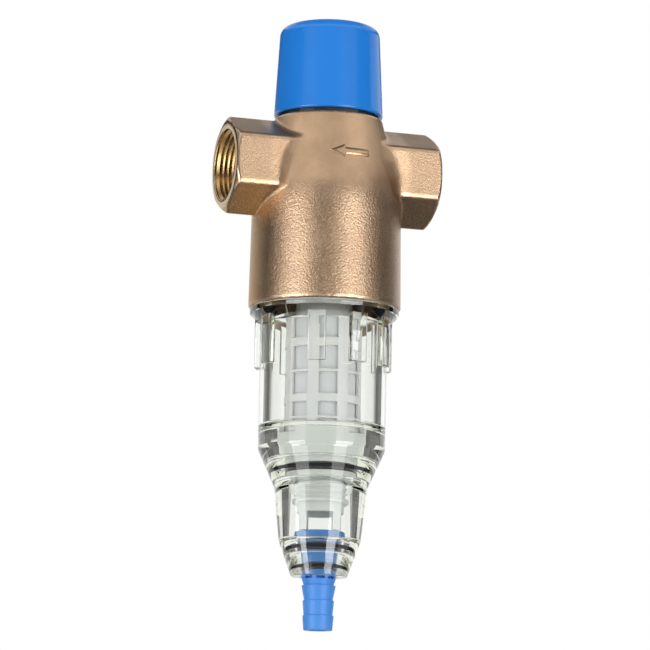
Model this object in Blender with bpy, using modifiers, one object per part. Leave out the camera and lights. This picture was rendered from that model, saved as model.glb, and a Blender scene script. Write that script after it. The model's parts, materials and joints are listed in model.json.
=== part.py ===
"""Water pressure regulator with a fine filter in a clear bowl, hung in a pipe run.

Metres, +Z up. The origin is where the port axis (X) meets the main axis (Z). Water enters at +X, drops
round the filter in the bowl, passes the mesh inwards, rises through the valve insert and leaves at -X.
"""

import math

import bmesh
import bpy
from mathutils import Matrix, Vector

# Clearances and facets
FIT = 0.0003  # gap between two pieces that touch or run on each other
OVERCUT = 0.001  # how far a cutter runs past the face it opens
LARGE_FACETS = 32
SMALL_FACETS = 20
THIN_FACETS = 12
SEAL_FACETS = 6

# Ports
PORT_SPAN = 0.080  # face to face
PORT_THREAD_RADIUS = 0.01206  # core of a G 3/4 female thread
PORT_THREAD_HEIGHT = 0.00116
PORT_THREAD_DEPTH = 0.016
PORT_WALL = 0.00394  # from the thread's core to the hexagon's flats
PORT_CHAMFER = 0.0014
PASSAGE_RADIUS = 0.008

# Valve, from the stem outwards to the neck
STEM_RADIUS = 0.0025
SEAT_FLOW_GAP = 0.003
SEAT_LIP = 0.001
DISC_OVERLAP = 0.0004
DISC_FLOW_GAP = 0.0017
DISC_THICKNESS = 0.0025
DISC_HOLDER_THICKNESS = 0.0025
VALVE_LIFT = 0.002
GROOVE_WALL = 0.001  # least wall under a seal groove
SMALL_SEAL = 0.0009  # section radius of the filter's top seal
INSERT_SEAL = 0.0011  # section radius of the valve insert's seal
INSERT_FLANGE_SEAT = 0.0018
INSERT_FLANGE_HEIGHT = 0.0027
INSERT_TAIL = 0.026  # how far the insert reaches below the partition
GUIDE_THICKNESS = 0.0022
GUIDE_RIM = 0.0033  # guide standing out past the seat's bore
GUIDE_WEB = 0.001  # least wall beside the guide's flow holes
CHAMBER_GAP = 0.0008
DIAPHRAGM_SEAT = 0.0024
DIAPHRAGM_THICKNESS = 0.0015
DIAPHRAGM_WAVE = 0.0031  # radial room of the rolling wave
DIAPHRAGM_WAVE_DEPTH = 0.0016
SUPPORT_THICKNESS = 0.0025
SUPPORT_HUB_WALL = 0.0017
SLIP_RING_THICKNESS = 0.001
SPRING_SEAT_THICKNESS = 0.002
SPRING_BOSS_HEIGHT = 0.002
NUT_ACROSS_FLATS = 0.008
NUT_HEIGHT = 0.004
STEM_END = 0.0006  # stem standing proud of its nuts

# Housing
PARTITION_SILL = 0.0005  # outlet passage's lowest line above the partition
PARTITION_THICKNESS = 0.005
PARTITION_WALL = 0.0029  # between the outlet chamber and the inlet's blind end
NECK_WALL = 0.0031
NECK_TOP = 0.020
NECK_EDGE = 0.0004
DIAPHRAGM_LEVEL = 0.0097
SHOULDER_LEVEL = -0.0085
SHOULDER_ROUND = 0.012
HOUSING_WALL = 0.0038
HOUSING_DRAFT = 0.0006
HOUSING_DEPTH = 0.0512
HOUSING_EDGE = 0.0005

# Adjusting cap, bonnet and spring
CAP_GAP = 0.0012
CAP_OVERHANG = 0.0003
CAP_HEIGHT = 0.0341
CAP_DRAFT = 0.0018
CAP_ROUND = 0.0035
CAP_RIM_ROUND = 0.0008
CAP_WALL = 0.0018
CAP_TOP = 0.0024
CAP_HUB_WALL = 0.0022
DRIVE_LENGTH = 0.005
DRIVE_ACROSS_FLATS = 0.007
SPINDLE_RADIUS = 0.004
SPINDLE_COLLAR = 0.004  # collar standing out from the spindle
SPINDLE_COLLAR_HEIGHT = 0.0018
SPINDLE_TAIL = 0.001  # spindle below the spring plate's lowest place
WASHER_THICKNESS = 0.001
RETAINING_RING_WIDTH = 0.0022
BONNET_STEP = 0.0012
BONNET_WALL = 0.0026
BONNET_TOP = 0.003
BONNET_FLANGE = 0.0025
PLATE_THICKNESS = 0.0035
PLATE_RIM = 0.00235
PLATE_TRAVEL = 0.005
WIRE_RADIUS = 0.00125
SPRING_TURNS = 5
POINTS_PER_TURN = 10

# Bowl, from the filter outwards
CAGE_RADIUS = 0.0142
CAGE_WALL = 0.0012
FILTER_ANNULUS = 0.0055
BOWL_WALL = 0.0039
BOWL_DRAFT = 0.00025
BOWL_SEAL = 0.0011
BOWL_THREAD_HEIGHT = 0.0012
BOWL_THREAD_LENGTH = 0.0135
BOWL_SPIGOT = 0.005
BOWL_FLANGE = 0.002
BOWL_FLANGE_INSET = 0.0006
BOWL_FLANGE_CONE = 0.004
BOWL_LENGTH = 0.0505
BOWL_SHOULDER_ROUND = 0.004
BOWL_CONE = 0.014
BOWL_FLOOR_RISE = 0.007
LOWER_WALL = 0.005
LOWER_DRAFT = 0.002
LOWER_LENGTH = 0.0195
TIP_CONE = 0.0129
TIP_WALL = 0.0032
LUG_COUNT = 9
LUG_WIDTH = 0.0056
LUG_HEIGHT = 0.00175
LUG_LENGTH = 0.0202
LUG_TURN = math.radians(-28.0)  # first lug, from the front face towards the inlet

# Filter cage and mesh
CAGE_BAYS = 8
CAGE_TURN = math.radians(-35.0)  # a rib's middle, from the front face towards the inlet
CAGE_RIB = 0.0037
CAGE_BASE_RIM = 0.0009
CAGE_THIN_RING = 0.001
CAGE_THICK_RING = 0.003
CAGE_WINDOWS = (0.0033, 0.0052, 0.008, 0.0087, 0.0078)  # heights, bottom row first
CAGE_TOP_BAND = 0.007
CAGE_TOP_CONE = 0.003
CAGE_SOCKET = 0.006  # how far the cage's collar covers the valve insert
MESH_THICKNESS = 0.0004
MESH_MARGIN = 0.001

# Filter foot and drain sleeve
SLEEVE_BORE = 0.0069
SLEEVE_WALL = 0.0018
SLEEVE_THREAD_HEIGHT = 0.0011
SLEEVE_THREAD_PITCH = 0.00175
SLEEVE_THREAD_HELD = 0.0064  # thread inside the foot
SLEEVE_THREAD_FREE = 0.0082
SLEEVE_COLLAR = 0.0016
SLEEVE_COLLAR_HEIGHT = 0.0012
SLEEVE_WINDOW_DROP = 0.0034
SLEEVE_WINDOW_WIDTH = 0.009
SLEEVE_TURN = math.radians(-18.65)  # a window's middle, from the front face towards the inlet
FOOT_GROOVE_WALL = 0.0012
FOOT_SEAL = 0.0013
FOOT_LEDGE = 0.002
FOOT_FLANGE_HEIGHT = 0.0093
FOOT_SEAL_HEIGHT = 0.0078
FOOT_RIM = 0.0005
FOOT_CUP_DEPTH = 0.0023
FOOT_CUP_WALL = 0.0014
FOOT_SLOT_WIDTH = 0.007
FOOT_SLOT_DEPTH = 0.0032
CHAMBER_COLLAR_GAP = 0.0006

# Drain plug and hose barb
DRAIN_TURNS = 2
BARB_BORE = 0.003
PLUG_GROOVE_WALL = 0.0013
PLUG_SEAL_LOWER = 0.0011
PLUG_SEAL_UPPER = 0.0012
PLUG_STEP = 0.0015
PLUG_HEAD_SEAT = 0.0007
PLUG_HEAD_HEIGHT = 0.0031
PLUG_FLOOR_RISE = 0.0005
PLUG_UPPER_BORE = 0.0042
PLUG_LAND = 0.0004  # land between a groove and the step beside it
PLUG_CROSS_HOLE = 0.001
BARB_NECK = 0.0029
BARB_NECK_DROP = 0.00055
BARB_COUNT = 3
BARB_PITCH = 0.0055
BARB_CREST = 0.0061
BARB_ROOT = 0.0054
BARB_LEDGE = 0.0003

# Radii of the valve side
seat_bore = STEM_RADIUS + SEAT_FLOW_GAP
disc_radius = seat_bore + SEAT_LIP + DISC_OVERLAP
insert_bore = disc_radius + DISC_FLOW_GAP
socket_radius = insert_bore + GROOVE_WALL + 2 * FIT + 2 * SMALL_SEAL
insert_flange_radius = socket_radius + INSERT_FLANGE_SEAT
outlet_chamber_radius = insert_flange_radius + CHAMBER_GAP
neck_bore = outlet_chamber_radius + DIAPHRAGM_SEAT
neck_radius = neck_bore + NECK_WALL
plate_disc_radius = outlet_chamber_radius - DIAPHRAGM_WAVE
stem_hole = STEM_RADIUS + FIT
nut_corner = NUT_ACROSS_FLATS / math.sqrt(3)
guide_radius = seat_bore + GUIDE_RIM

# Levels of the valve side
partition_top = -PASSAGE_RADIUS - PARTITION_SILL
partition_bottom = partition_top - PARTITION_THICKNESS
insert_top = partition_top + FIT + INSERT_FLANGE_HEIGHT
insert_bottom = partition_bottom - INSERT_TAIL
insert_seal_level = (partition_top + partition_bottom) / 2
filter_seal_level = insert_bottom + CAGE_SOCKET / 2
seat_level = partition_bottom - SEAT_LIP - 2 * FIT
disc_top = seat_level - FIT - VALVE_LIFT
holder_top = disc_top - DISC_THICKNESS - FIT
disc_nut_top = holder_top - DISC_HOLDER_THICKNESS - FIT
diaphragm_bottom = DIAPHRAGM_LEVEL + FIT
diaphragm_top = diaphragm_bottom + DIAPHRAGM_THICKNESS
slip_ring_bottom = diaphragm_top + FIT
bonnet_bottom = slip_ring_bottom + SLIP_RING_THICKNESS + FIT
spring_seat_bottom = diaphragm_top + FIT
spring_seat_top = spring_seat_bottom + SPRING_SEAT_THICKNESS
stem_nut_bottom = spring_seat_top + FIT

# Cap, bonnet and spring
cap_radius = neck_radius + CAP_OVERHANG
cap_bottom = NECK_TOP + CAP_GAP
cap_top = cap_bottom + CAP_HEIGHT
cap_ceiling = cap_top - CAP_TOP
hub_bottom = cap_ceiling - DRIVE_LENGTH
ring_bottom = hub_bottom - FIT - WASHER_THICKNESS
bonnet_top = ring_bottom - FIT
bonnet_ceiling = bonnet_top - BONNET_TOP
washer_bottom = bonnet_ceiling - FIT - WASHER_THICKNESS
collar_bottom = washer_bottom - FIT - SPINDLE_COLLAR_HEIGHT
plate_bottom = collar_bottom - FIT - PLATE_THICKNESS
spindle_hole = SPINDLE_RADIUS + FIT
bonnet_radius = neck_bore - BONNET_STEP
bonnet_bore = bonnet_radius - BONNET_WALL
plate_radius = bonnet_bore - FIT
spring_radius = plate_radius - PLATE_RIM - WIRE_RADIUS

# Bowl radii
bowl_bore = CAGE_RADIUS + FILTER_ANNULUS
bowl_radius = bowl_bore + BOWL_WALL
housing_bore = bowl_bore + GROOVE_WALL + 2 * FIT + 2 * BOWL_SEAL
bowl_spigot_radius = housing_bore - 2 * FIT
bowl_thread_radius = bowl_spigot_radius + BOWL_THREAD_HEIGHT
housing_thread_radius = bowl_thread_radius + FIT
base_radius = housing_thread_radius + HOUSING_WALL
shoulder_radius = base_radius - HOUSING_DRAFT
bowl_flange_radius = base_radius - BOWL_FLANGE_INSET
sleeve_radius = SLEEVE_BORE + SLEEVE_WALL
sleeve_thread_radius = sleeve_radius + SLEEVE_THREAD_HEIGHT
sleeve_collar_radius = sleeve_thread_radius + SLEEVE_COLLAR
foot_thread_bore = sleeve_thread_radius + FIT
foot_bore = foot_thread_bore + FOOT_GROOVE_WALL + 2 * FIT + 2 * FOOT_SEAL
foot_flange_bore = foot_bore + FOOT_LEDGE
drain_chamber_radius = sleeve_collar_radius + CHAMBER_COLLAR_GAP
lower_radius = drain_chamber_radius + LOWER_WALL
plug_lower_bore = BARB_BORE + PLUG_GROOVE_WALL + 2 * FIT + 2 * PLUG_SEAL_LOWER
plug_upper_bore = plug_lower_bore + PLUG_STEP
plug_lower_radius = plug_lower_bore - 2 * FIT
plug_upper_radius = plug_upper_bore - 2 * FIT
plug_head_radius = plug_upper_bore + PLUG_HEAD_SEAT
tip_radius = plug_lower_bore + TIP_WALL

# Bowl levels
housing_bottom = -HOUSING_DEPTH
bowl_flange_top = housing_bottom - FIT
bowl_flange_bottom = bowl_flange_top - BOWL_FLANGE
bowl_thread_top = bowl_flange_top + BOWL_THREAD_LENGTH
bowl_top = bowl_thread_top + BOWL_SPIGOT
bowl_seal_level = bowl_thread_top + BOWL_SPIGOT / 2
bowl_wall_end = bowl_flange_bottom - BOWL_LENGTH
bowl_cone_end = bowl_wall_end - BOWL_CONE
lower_end = bowl_cone_end - LOWER_LENGTH
bowl_bottom = lower_end - TIP_CONE
bowl_floor = bowl_wall_end + BOWL_FLOOR_RISE
foot_ledge_level = bowl_floor - FOOT_FLANGE_HEIGHT
foot_stop_level = foot_ledge_level - FOOT_SEAL_HEIGHT
foot_top = bowl_floor + FOOT_RIM
foot_bottom = foot_stop_level + FIT
foot_cup_floor = foot_top - FOOT_CUP_DEPTH
foot_seal_level = (foot_ledge_level + foot_bottom) / 2
cage_bottom = foot_cup_floor + FIT
cage_top = insert_bottom + CAGE_SOCKET
drain_floor = lower_end + PLUG_FLOOR_RISE
plug_step_level = drain_floor - PLUG_UPPER_BORE
plug_head_top = drain_floor + FIT + PLUG_HEAD_HEIGHT
drain_lift = DRAIN_TURNS * SLEEVE_THREAD_PITCH
sleeve_collar_top = foot_bottom - SLEEVE_THREAD_FREE
sleeve_top = foot_bottom + SLEEVE_THREAD_HELD
sleeve_bottom = plug_head_top + FIT
sleeve_window_top = sleeve_collar_top - SLEEVE_COLLAR_HEIGHT - SLEEVE_WINDOW_DROP
foot_thread_top = sleeve_top + drain_lift + FIT
upper_seal_level = drain_floor - PLUG_LAND - FIT - PLUG_SEAL_UPPER
lower_seal_level = plug_step_level - drain_lift - FIT - PLUG_SEAL_LOWER


for old in list(bpy.data.objects):
    bpy.data.objects.remove(old, do_unlink=True)

parts = bpy.data.collections.new("water_pressure_regulator")
cutters = bpy.data.collections.new("cutters")
bpy.context.scene.collection.children.link(parts)
bpy.context.scene.collection.children.link(cutters)


def principled(name, colour, roughness, metallic=0.0, alpha=1.0):
    """A material with one Principled surface in linear colour."""
    material = bpy.data.materials.new(name)
    material.use_nodes = True
    surface = material.node_tree.nodes["Principled BSDF"]
    surface.inputs["Base Color"].default_value = (*colour, 1.0)
    surface.inputs["Roughness"].default_value = roughness
    surface.inputs["Metallic"].default_value = metallic
    surface.inputs["Alpha"].default_value = alpha
    return material


cast_bronze = principled("cast_bronze", (0.47, 0.28, 0.16), 0.42, 1.0)
turned_brass = principled("turned_brass", (0.60, 0.42, 0.17), 0.25, 1.0)
spring_steel = principled("spring_steel", (0.45, 0.45, 0.46), 0.3, 1.0)
stainless = principled("stainless", (0.60, 0.60, 0.60), 0.25, 1.0)
cap_blue = principled("cap_blue", (0.02, 0.20, 0.72), 0.3)
barb_blue = principled("barb_blue", (0.09, 0.32, 0.85), 0.4)
bonnet_black = principled("bonnet_black", (0.02, 0.02, 0.025), 0.5)
clear_bowl = principled("clear_bowl", (0.80, 0.86, 0.80), 0.05, alpha=0.35)
filter_white = principled("filter_white", (0.72, 0.75, 0.73), 0.45)
sleeve_white = principled("sleeve_white", (0.72, 0.76, 0.72), 0.35, alpha=0.8)
mesh_grey = principled("mesh_grey", (0.48, 0.51, 0.52), 0.5)
seal_black = principled("seal_black", (0.012, 0.012, 0.014), 0.5)
diaphragm_black = principled("diaphragm_black", (0.02, 0.02, 0.02), 0.6)


def axis_empty(name, level):
    """An empty on the main axis, which carries the pieces that move together."""
    empty = bpy.data.objects.new(name, None)
    empty.location.z = level
    parts.objects.link(empty)
    return empty


cap_axis = axis_empty("cap_axis", cap_bottom)
plate_axis = axis_empty("plate_axis", plate_bottom)
valve_axis = axis_empty("valve_axis", seat_level)
bowl_axis = axis_empty("bowl_axis", bowl_flange_top)
drain_axis = axis_empty("drain_axis", drain_floor)


def as_part(obj, material, carrier=None):
    """Files an object as a piece of the assembly, with its finish and the empty that carries it."""
    parts.objects.link(obj)
    obj.data.materials.clear()
    obj.data.materials.append(material)
    if carrier:
        obj.parent = carrier
        obj.matrix_parent_inverse = Matrix.Translation(-carrier.location)
    return obj


def as_cutter(obj):
    """Files an object as a helper for Booleans."""
    cutters.objects.link(obj)
    obj.hide_render = True
    obj.display_type = "WIRE"
    return obj


def rounded(corners, steps=3):
    """Points of an outline of (radius, level, rounding) corners, with arcs where they are rounded."""
    points = []
    last = len(corners) - 1
    for i, (r, z, rounding) in enumerate(corners):
        here = Vector((r, z))
        if rounding == 0 or i in (0, last):
            points.append(here)
            continue
        back = Vector(corners[i - 1][:2]) - here
        ahead = Vector(corners[i + 1][:2]) - here
        half = back.angle(ahead) / 2
        reach = min(rounding / math.tan(half), 0.45 * back.length, 0.45 * ahead.length)
        radius = reach * math.tan(half)
        back.normalize()
        ahead.normalize()
        centre = here + (back + ahead).normalized() * (radius / math.sin(half))
        start = here + back * reach - centre
        sweep = start.angle_signed(here + ahead * reach - centre)
        for k in range(steps + 1):
            spoke = start.copy()
            spoke.rotate(Matrix.Rotation(-sweep * k / steps, 2))
            points.append(centre + spoke)
    return points


def turned(name, outline, facets, closed=True):
    """A turned solid about Z. Its outline of (radius, level) runs down the outside and up the inside."""
    mesh = bpy.data.meshes.new(name)
    points = [(r, 0, z) for r, z in outline]
    edges = [(i, i + 1) for i in range(len(points) - 1)]
    if closed:
        edges.append((len(points) - 1, 0))
    mesh.from_pydata(points, edges, [])
    obj = bpy.data.objects.new(name, mesh)
    screw = obj.modifiers.new("turn", "SCREW")
    screw.steps = facets
    screw.render_steps = facets
    screw.use_merge_vertices = True
    screw.merge_threshold = 0.00001
    screw.use_smooth_shade = True
    return obj


def ring(name, inner, outer, bottom, height, facets=SMALL_FACETS):
    """A plain washer standing at a level."""
    top = bottom + height
    return turned(name, [(outer, top), (outer, bottom), (inner, bottom), (inner, top)], facets)


def seal(name, section, outer, level):
    """An O-ring of a section radius whose outside touches the given radius."""
    bpy.ops.mesh.primitive_torus_add(
        major_segments=SMALL_FACETS,
        minor_segments=SEAL_FACETS,
        major_radius=outer - section,
        minor_radius=section,
        location=(0, 0, level),
    )
    obj = bpy.context.object
    obj.name = name
    for owner in list(obj.users_collection):
        owner.objects.unlink(obj)
    obj.data.shade_smooth()
    return obj


def prism(name, across_flats, bottom, height):
    """A hexagonal bar along Z."""
    mesh = bpy.data.meshes.new(name)
    shape = bmesh.new()
    corner = across_flats / math.sqrt(3)
    place = Matrix.Translation((0, 0, bottom + height / 2))
    bmesh.ops.create_cone(
        shape, cap_ends=True, segments=6, radius1=corner, radius2=corner, depth=height, matrix=place
    )
    shape.to_mesh(mesh)
    shape.free()
    return bpy.data.objects.new(name, mesh)


def boxes(name, sizes_and_places):
    """One helper mesh of boxes, each given by its size and its matrix."""
    mesh = bpy.data.meshes.new(name)
    shape = bmesh.new()
    for size, place in sizes_and_places:
        bmesh.ops.create_cube(shape, size=1, matrix=place @ Matrix.Diagonal((*size, 1)))
    shape.to_mesh(mesh)
    shape.free()
    return bpy.data.objects.new(name, mesh)


def combine(obj, helper, operation):
    """Joins, cuts or trims an object with a helper."""
    boolean = obj.modifiers.new(helper.name, "BOOLEAN")
    boolean.operation = operation
    boolean.object = helper
    boolean.solver = "EXACT"


def around(angle):
    """Turns the front face, -Y, about the main axis towards the inlet, +X."""
    return Matrix.Rotation(angle, 4, "Z")


def groove(section, outer, level, land):
    """The four corners of a seal's groove in a land, running down the outer side."""
    half = section + FIT
    depth = outer - 2 * section - FIT
    return [(land, level + half), (depth, level + half), (depth, level - half), (land, level - half)]


def port_bore(name, blind_end, side):
    """A threaded port's cutter, turned about X: lead-in, thread core and passage, down to a blind end."""
    half = PORT_SPAN / 2
    mouth = PORT_THREAD_RADIUS + PORT_THREAD_HEIGHT
    thread_end = half - PORT_THREAD_DEPTH
    outline = [
        (0, half + OVERCUT),
        (mouth + OVERCUT, half + OVERCUT),
        (PORT_THREAD_RADIUS, half - PORT_THREAD_HEIGHT),
        (PORT_THREAD_RADIUS, thread_end),
        (PASSAGE_RADIUS, thread_end - (PORT_THREAD_RADIUS - PASSAGE_RADIUS) / 2),
        (PASSAGE_RADIUS, blind_end),
        (0, blind_end),
    ]
    cutter = as_cutter(turned(name, outline, LARGE_FACETS, closed=False))
    cutter.rotation_euler.y = side * math.pi / 2
    return cutter


def make_housing():
    """Cast body: a necked barrel, a hexagonal port on each side, and the chambers for filter and valve."""
    edge = HOUSING_EDGE
    barrel = rounded(
        [
            (0, NECK_TOP, 0),
            (neck_radius - NECK_EDGE, NECK_TOP, 0),
            (neck_radius, NECK_TOP - NECK_EDGE, 0),
            (shoulder_radius, SHOULDER_LEVEL, SHOULDER_ROUND),
            (base_radius, housing_bottom + edge, 0),
            (base_radius - edge, housing_bottom, 0),
            (0, housing_bottom, 0),
        ]
    )
    housing = as_part(turned("housing", barrel, LARGE_FACETS, closed=False), cast_bronze)

    flats = 2 * (PORT_THREAD_RADIUS + PORT_WALL)
    corner = flats / math.sqrt(3)
    bar = as_cutter(prism("port_bar", flats, -PORT_SPAN / 2, PORT_SPAN))
    bar.rotation_euler.y = math.pi / 2
    bar.data.transform(Matrix.Rotation(math.pi / 6, 4, "Z"))
    half = PORT_SPAN / 2
    slope = (corner - flats / 2) / PORT_CHAMFER
    past = corner + slope * OVERCUT
    trim_outline = [
        (0, half),
        (flats / 2, half),
        (past, half - PORT_CHAMFER - OVERCUT),
        (past, PORT_CHAMFER + OVERCUT - half),
        (flats / 2, -half),
        (0, -half),
    ]
    trim = as_cutter(turned("port_chamfer", trim_outline, LARGE_FACETS, closed=False))
    trim.rotation_euler.y = math.pi / 2
    combine(bar, trim, "INTERSECT")
    combine(housing, bar, "UNION")

    core = [
        (0, NECK_TOP + OVERCUT),
        (neck_bore, NECK_TOP + OVERCUT),
        (neck_bore, DIAPHRAGM_LEVEL),
        (outlet_chamber_radius, DIAPHRAGM_LEVEL),
        (outlet_chamber_radius, partition_top),
        (socket_radius, partition_top),
        (socket_radius, partition_bottom),
        (housing_bore, partition_bottom),
        (housing_bore, bowl_thread_top),
        (housing_thread_radius, bowl_thread_top),
        (housing_thread_radius, housing_bottom - OVERCUT),
        (0, housing_bottom - OVERCUT),
    ]
    combine(housing, as_cutter(turned("housing_core", core, LARGE_FACETS, closed=False)), "DIFFERENCE")
    inlet_end = outlet_chamber_radius + PARTITION_WALL
    combine(housing, port_bore("inlet_bore", inlet_end, 1), "DIFFERENCE")
    combine(housing, port_bore("outlet_bore", outlet_chamber_radius / 2, -1), "DIFFERENCE")
    near = inlet_end + OVERCUT / 2
    far = housing_bore - OVERCUT
    low = partition_bottom - OVERCUT
    size = (far - near, 2 * (PASSAGE_RADIUS - OVERCUT), -low)
    place = Matrix.Translation(((near + far) / 2, 0, low / 2))
    combine(housing, as_cutter(boxes("inlet_drop", [(size, place)])), "DIFFERENCE")


def make_valve_insert():
    """Turned brass insert in the partition, with its flange, its seat and the tail that holds the filter."""
    land = socket_radius - FIT
    tail = socket_radius - 2 * FIT
    guide_floor = insert_top - GUIDE_THICKNESS - FIT
    lip = seat_bore + SEAT_LIP
    outline = [
        (insert_flange_radius, insert_top),
        (insert_flange_radius, partition_top + FIT),
        (land, partition_top + FIT),
        *groove(INSERT_SEAL, land, insert_seal_level, land),
        (land, partition_bottom - FIT),
        (tail, partition_bottom - FIT),
        *groove(SMALL_SEAL, land, filter_seal_level, tail),
        (tail, insert_bottom),
        (insert_bore, insert_bottom),
        (insert_bore, seat_level + SEAT_LIP),
        (lip, seat_level + SEAT_LIP),
        (lip, seat_level),
        (seat_bore, seat_level),
        (seat_bore, guide_floor),
        (guide_radius + FIT, guide_floor),
        (guide_radius + FIT, insert_top),
    ]
    as_part(turned("valve_insert", outline, SMALL_FACETS), turned_brass)
    as_part(seal("insert_o_ring", INSERT_SEAL, land, insert_seal_level), seal_black)
    as_part(seal("filter_top_o_ring", SMALL_SEAL, land, filter_seal_level), seal_black)

    guide = ring("stem_guide", stem_hole, guide_radius, insert_top - GUIDE_THICKNESS, GUIDE_THICKNESS)
    as_part(guide, filter_white)
    hole_radius = (guide_radius - stem_hole) / 2 - GUIDE_WEB
    hole_place = (guide_radius + stem_hole) / 2
    holes = bpy.data.meshes.new("guide_holes")
    shape = bmesh.new()
    for quarter in range(4):
        place = around(quarter * math.pi / 2) @ Matrix.Translation((hole_place, 0, insert_top))
        bmesh.ops.create_cone(
            shape,
            cap_ends=True,
            segments=8,
            radius1=hole_radius,
            radius2=hole_radius,
            depth=4 * GUIDE_THICKNESS,
            matrix=place,
        )
    shape.to_mesh(holes)
    shape.free()
    combine(guide, as_cutter(bpy.data.objects.new("guide_holes", holes)), "DIFFERENCE")


def make_valve():
    """The moving stem with its disc below the seat and its plates on both sides of the diaphragm."""
    stem_top = stem_nut_bottom + NUT_HEIGHT + STEM_END
    stem_bottom = disc_nut_top - NUT_HEIGHT - STEM_END
    stem = [(0, stem_top), (STEM_RADIUS, stem_top), (STEM_RADIUS, stem_bottom), (0, stem_bottom)]
    as_part(turned("valve_stem", stem, THIN_FACETS, closed=False), stainless, valve_axis)
    disc = ring("valve_disc", stem_hole, disc_radius, disc_top - DISC_THICKNESS, DISC_THICKNESS)
    as_part(disc, seal_black, valve_axis)
    bottom = holder_top - DISC_HOLDER_THICKNESS
    holder = ring("disc_holder", stem_hole, disc_radius, bottom, DISC_HOLDER_THICKNESS)
    as_part(holder, turned_brass, valve_axis)

    hub = stem_hole + SUPPORT_HUB_WALL
    support = [
        (plate_disc_radius, DIAPHRAGM_LEVEL),
        (plate_disc_radius, DIAPHRAGM_LEVEL - SUPPORT_THICKNESS),
        (hub, DIAPHRAGM_LEVEL - SUPPORT_THICKNESS),
        (hub, insert_top + FIT),
        (stem_hole, insert_top + FIT),
        (stem_hole, DIAPHRAGM_LEVEL),
    ]
    as_part(turned("diaphragm_support", support, SMALL_FACETS), turned_brass, valve_axis)
    boss = spring_radius - WIRE_RADIUS - 2 * FIT
    pocket = nut_corner + 2 * FIT
    seat = [
        (boss, spring_seat_top + SPRING_BOSS_HEIGHT),
        (boss, spring_seat_top),
        (plate_disc_radius, spring_seat_top),
        (plate_disc_radius, spring_seat_bottom),
        (stem_hole, spring_seat_bottom),
        (stem_hole, spring_seat_top),
        (pocket, spring_seat_top),
        (pocket, spring_seat_top + SPRING_BOSS_HEIGHT),
    ]
    as_part(turned("spring_seat", seat, SMALL_FACETS), spring_steel, valve_axis)
    for name, bottom in (("stem_nut", stem_nut_bottom), ("disc_nut", disc_nut_top - NUT_HEIGHT)):
        nut = as_part(prism(name, NUT_ACROSS_FLATS, bottom, NUT_HEIGHT), stainless, valve_axis)
        tap = [(0, NUT_HEIGHT), (stem_hole, NUT_HEIGHT), (stem_hole, -NUT_HEIGHT), (0, -NUT_HEIGHT)]
        hole = as_cutter(turned(name + "_tap", tap, THIN_FACETS, closed=False))
        hole.location.z = bottom + NUT_HEIGHT / 2
        combine(nut, hole, "DIFFERENCE")


def make_diaphragm():
    """Rubber diaphragm with one rolling wave, clamped under the slip ring by the bonnet."""
    rim = neck_bore - FIT
    wave = (plate_disc_radius + outlet_chamber_radius) / 2
    outside = outlet_chamber_radius - FIT
    low = diaphragm_bottom - DIAPHRAGM_WAVE_DEPTH
    outline = [
        (rim, diaphragm_top),
        (rim, diaphragm_bottom),
        (outside, diaphragm_bottom),
        (wave, low),
        (plate_disc_radius + FIT, diaphragm_bottom),
        (stem_hole, diaphragm_bottom),
        (stem_hole, diaphragm_top),
        (plate_disc_radius, diaphragm_top),
        (wave, low + DIAPHRAGM_THICKNESS),
        (outside, diaphragm_top),
    ]
    as_part(turned("diaphragm", outline, SMALL_FACETS), diaphragm_black)
    slip = ring("slip_ring", outlet_chamber_radius, rim, slip_ring_bottom, SLIP_RING_THICKNESS)
    as_part(slip, turned_brass)


def make_bonnet():
    """Spring bonnet, screwed into the neck and hidden by the cap."""
    flange = cap_radius - CAP_WALL - FIT
    thread = neck_bore - FIT
    flange_bottom = NECK_TOP + FIT
    outline = [
        (bonnet_radius, bonnet_top),
        (bonnet_radius, flange_bottom + BONNET_FLANGE),
        (flange, flange_bottom + BONNET_FLANGE),
        (flange, flange_bottom),
        (thread, flange_bottom),
        (thread, bonnet_bottom),
        (bonnet_bore, bonnet_bottom),
        (bonnet_bore, bonnet_ceiling),
        (spindle_hole, bonnet_ceiling),
        (spindle_hole, bonnet_top),
    ]
    as_part(turned("spring_bonnet", outline, SMALL_FACETS), bonnet_black)


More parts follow.
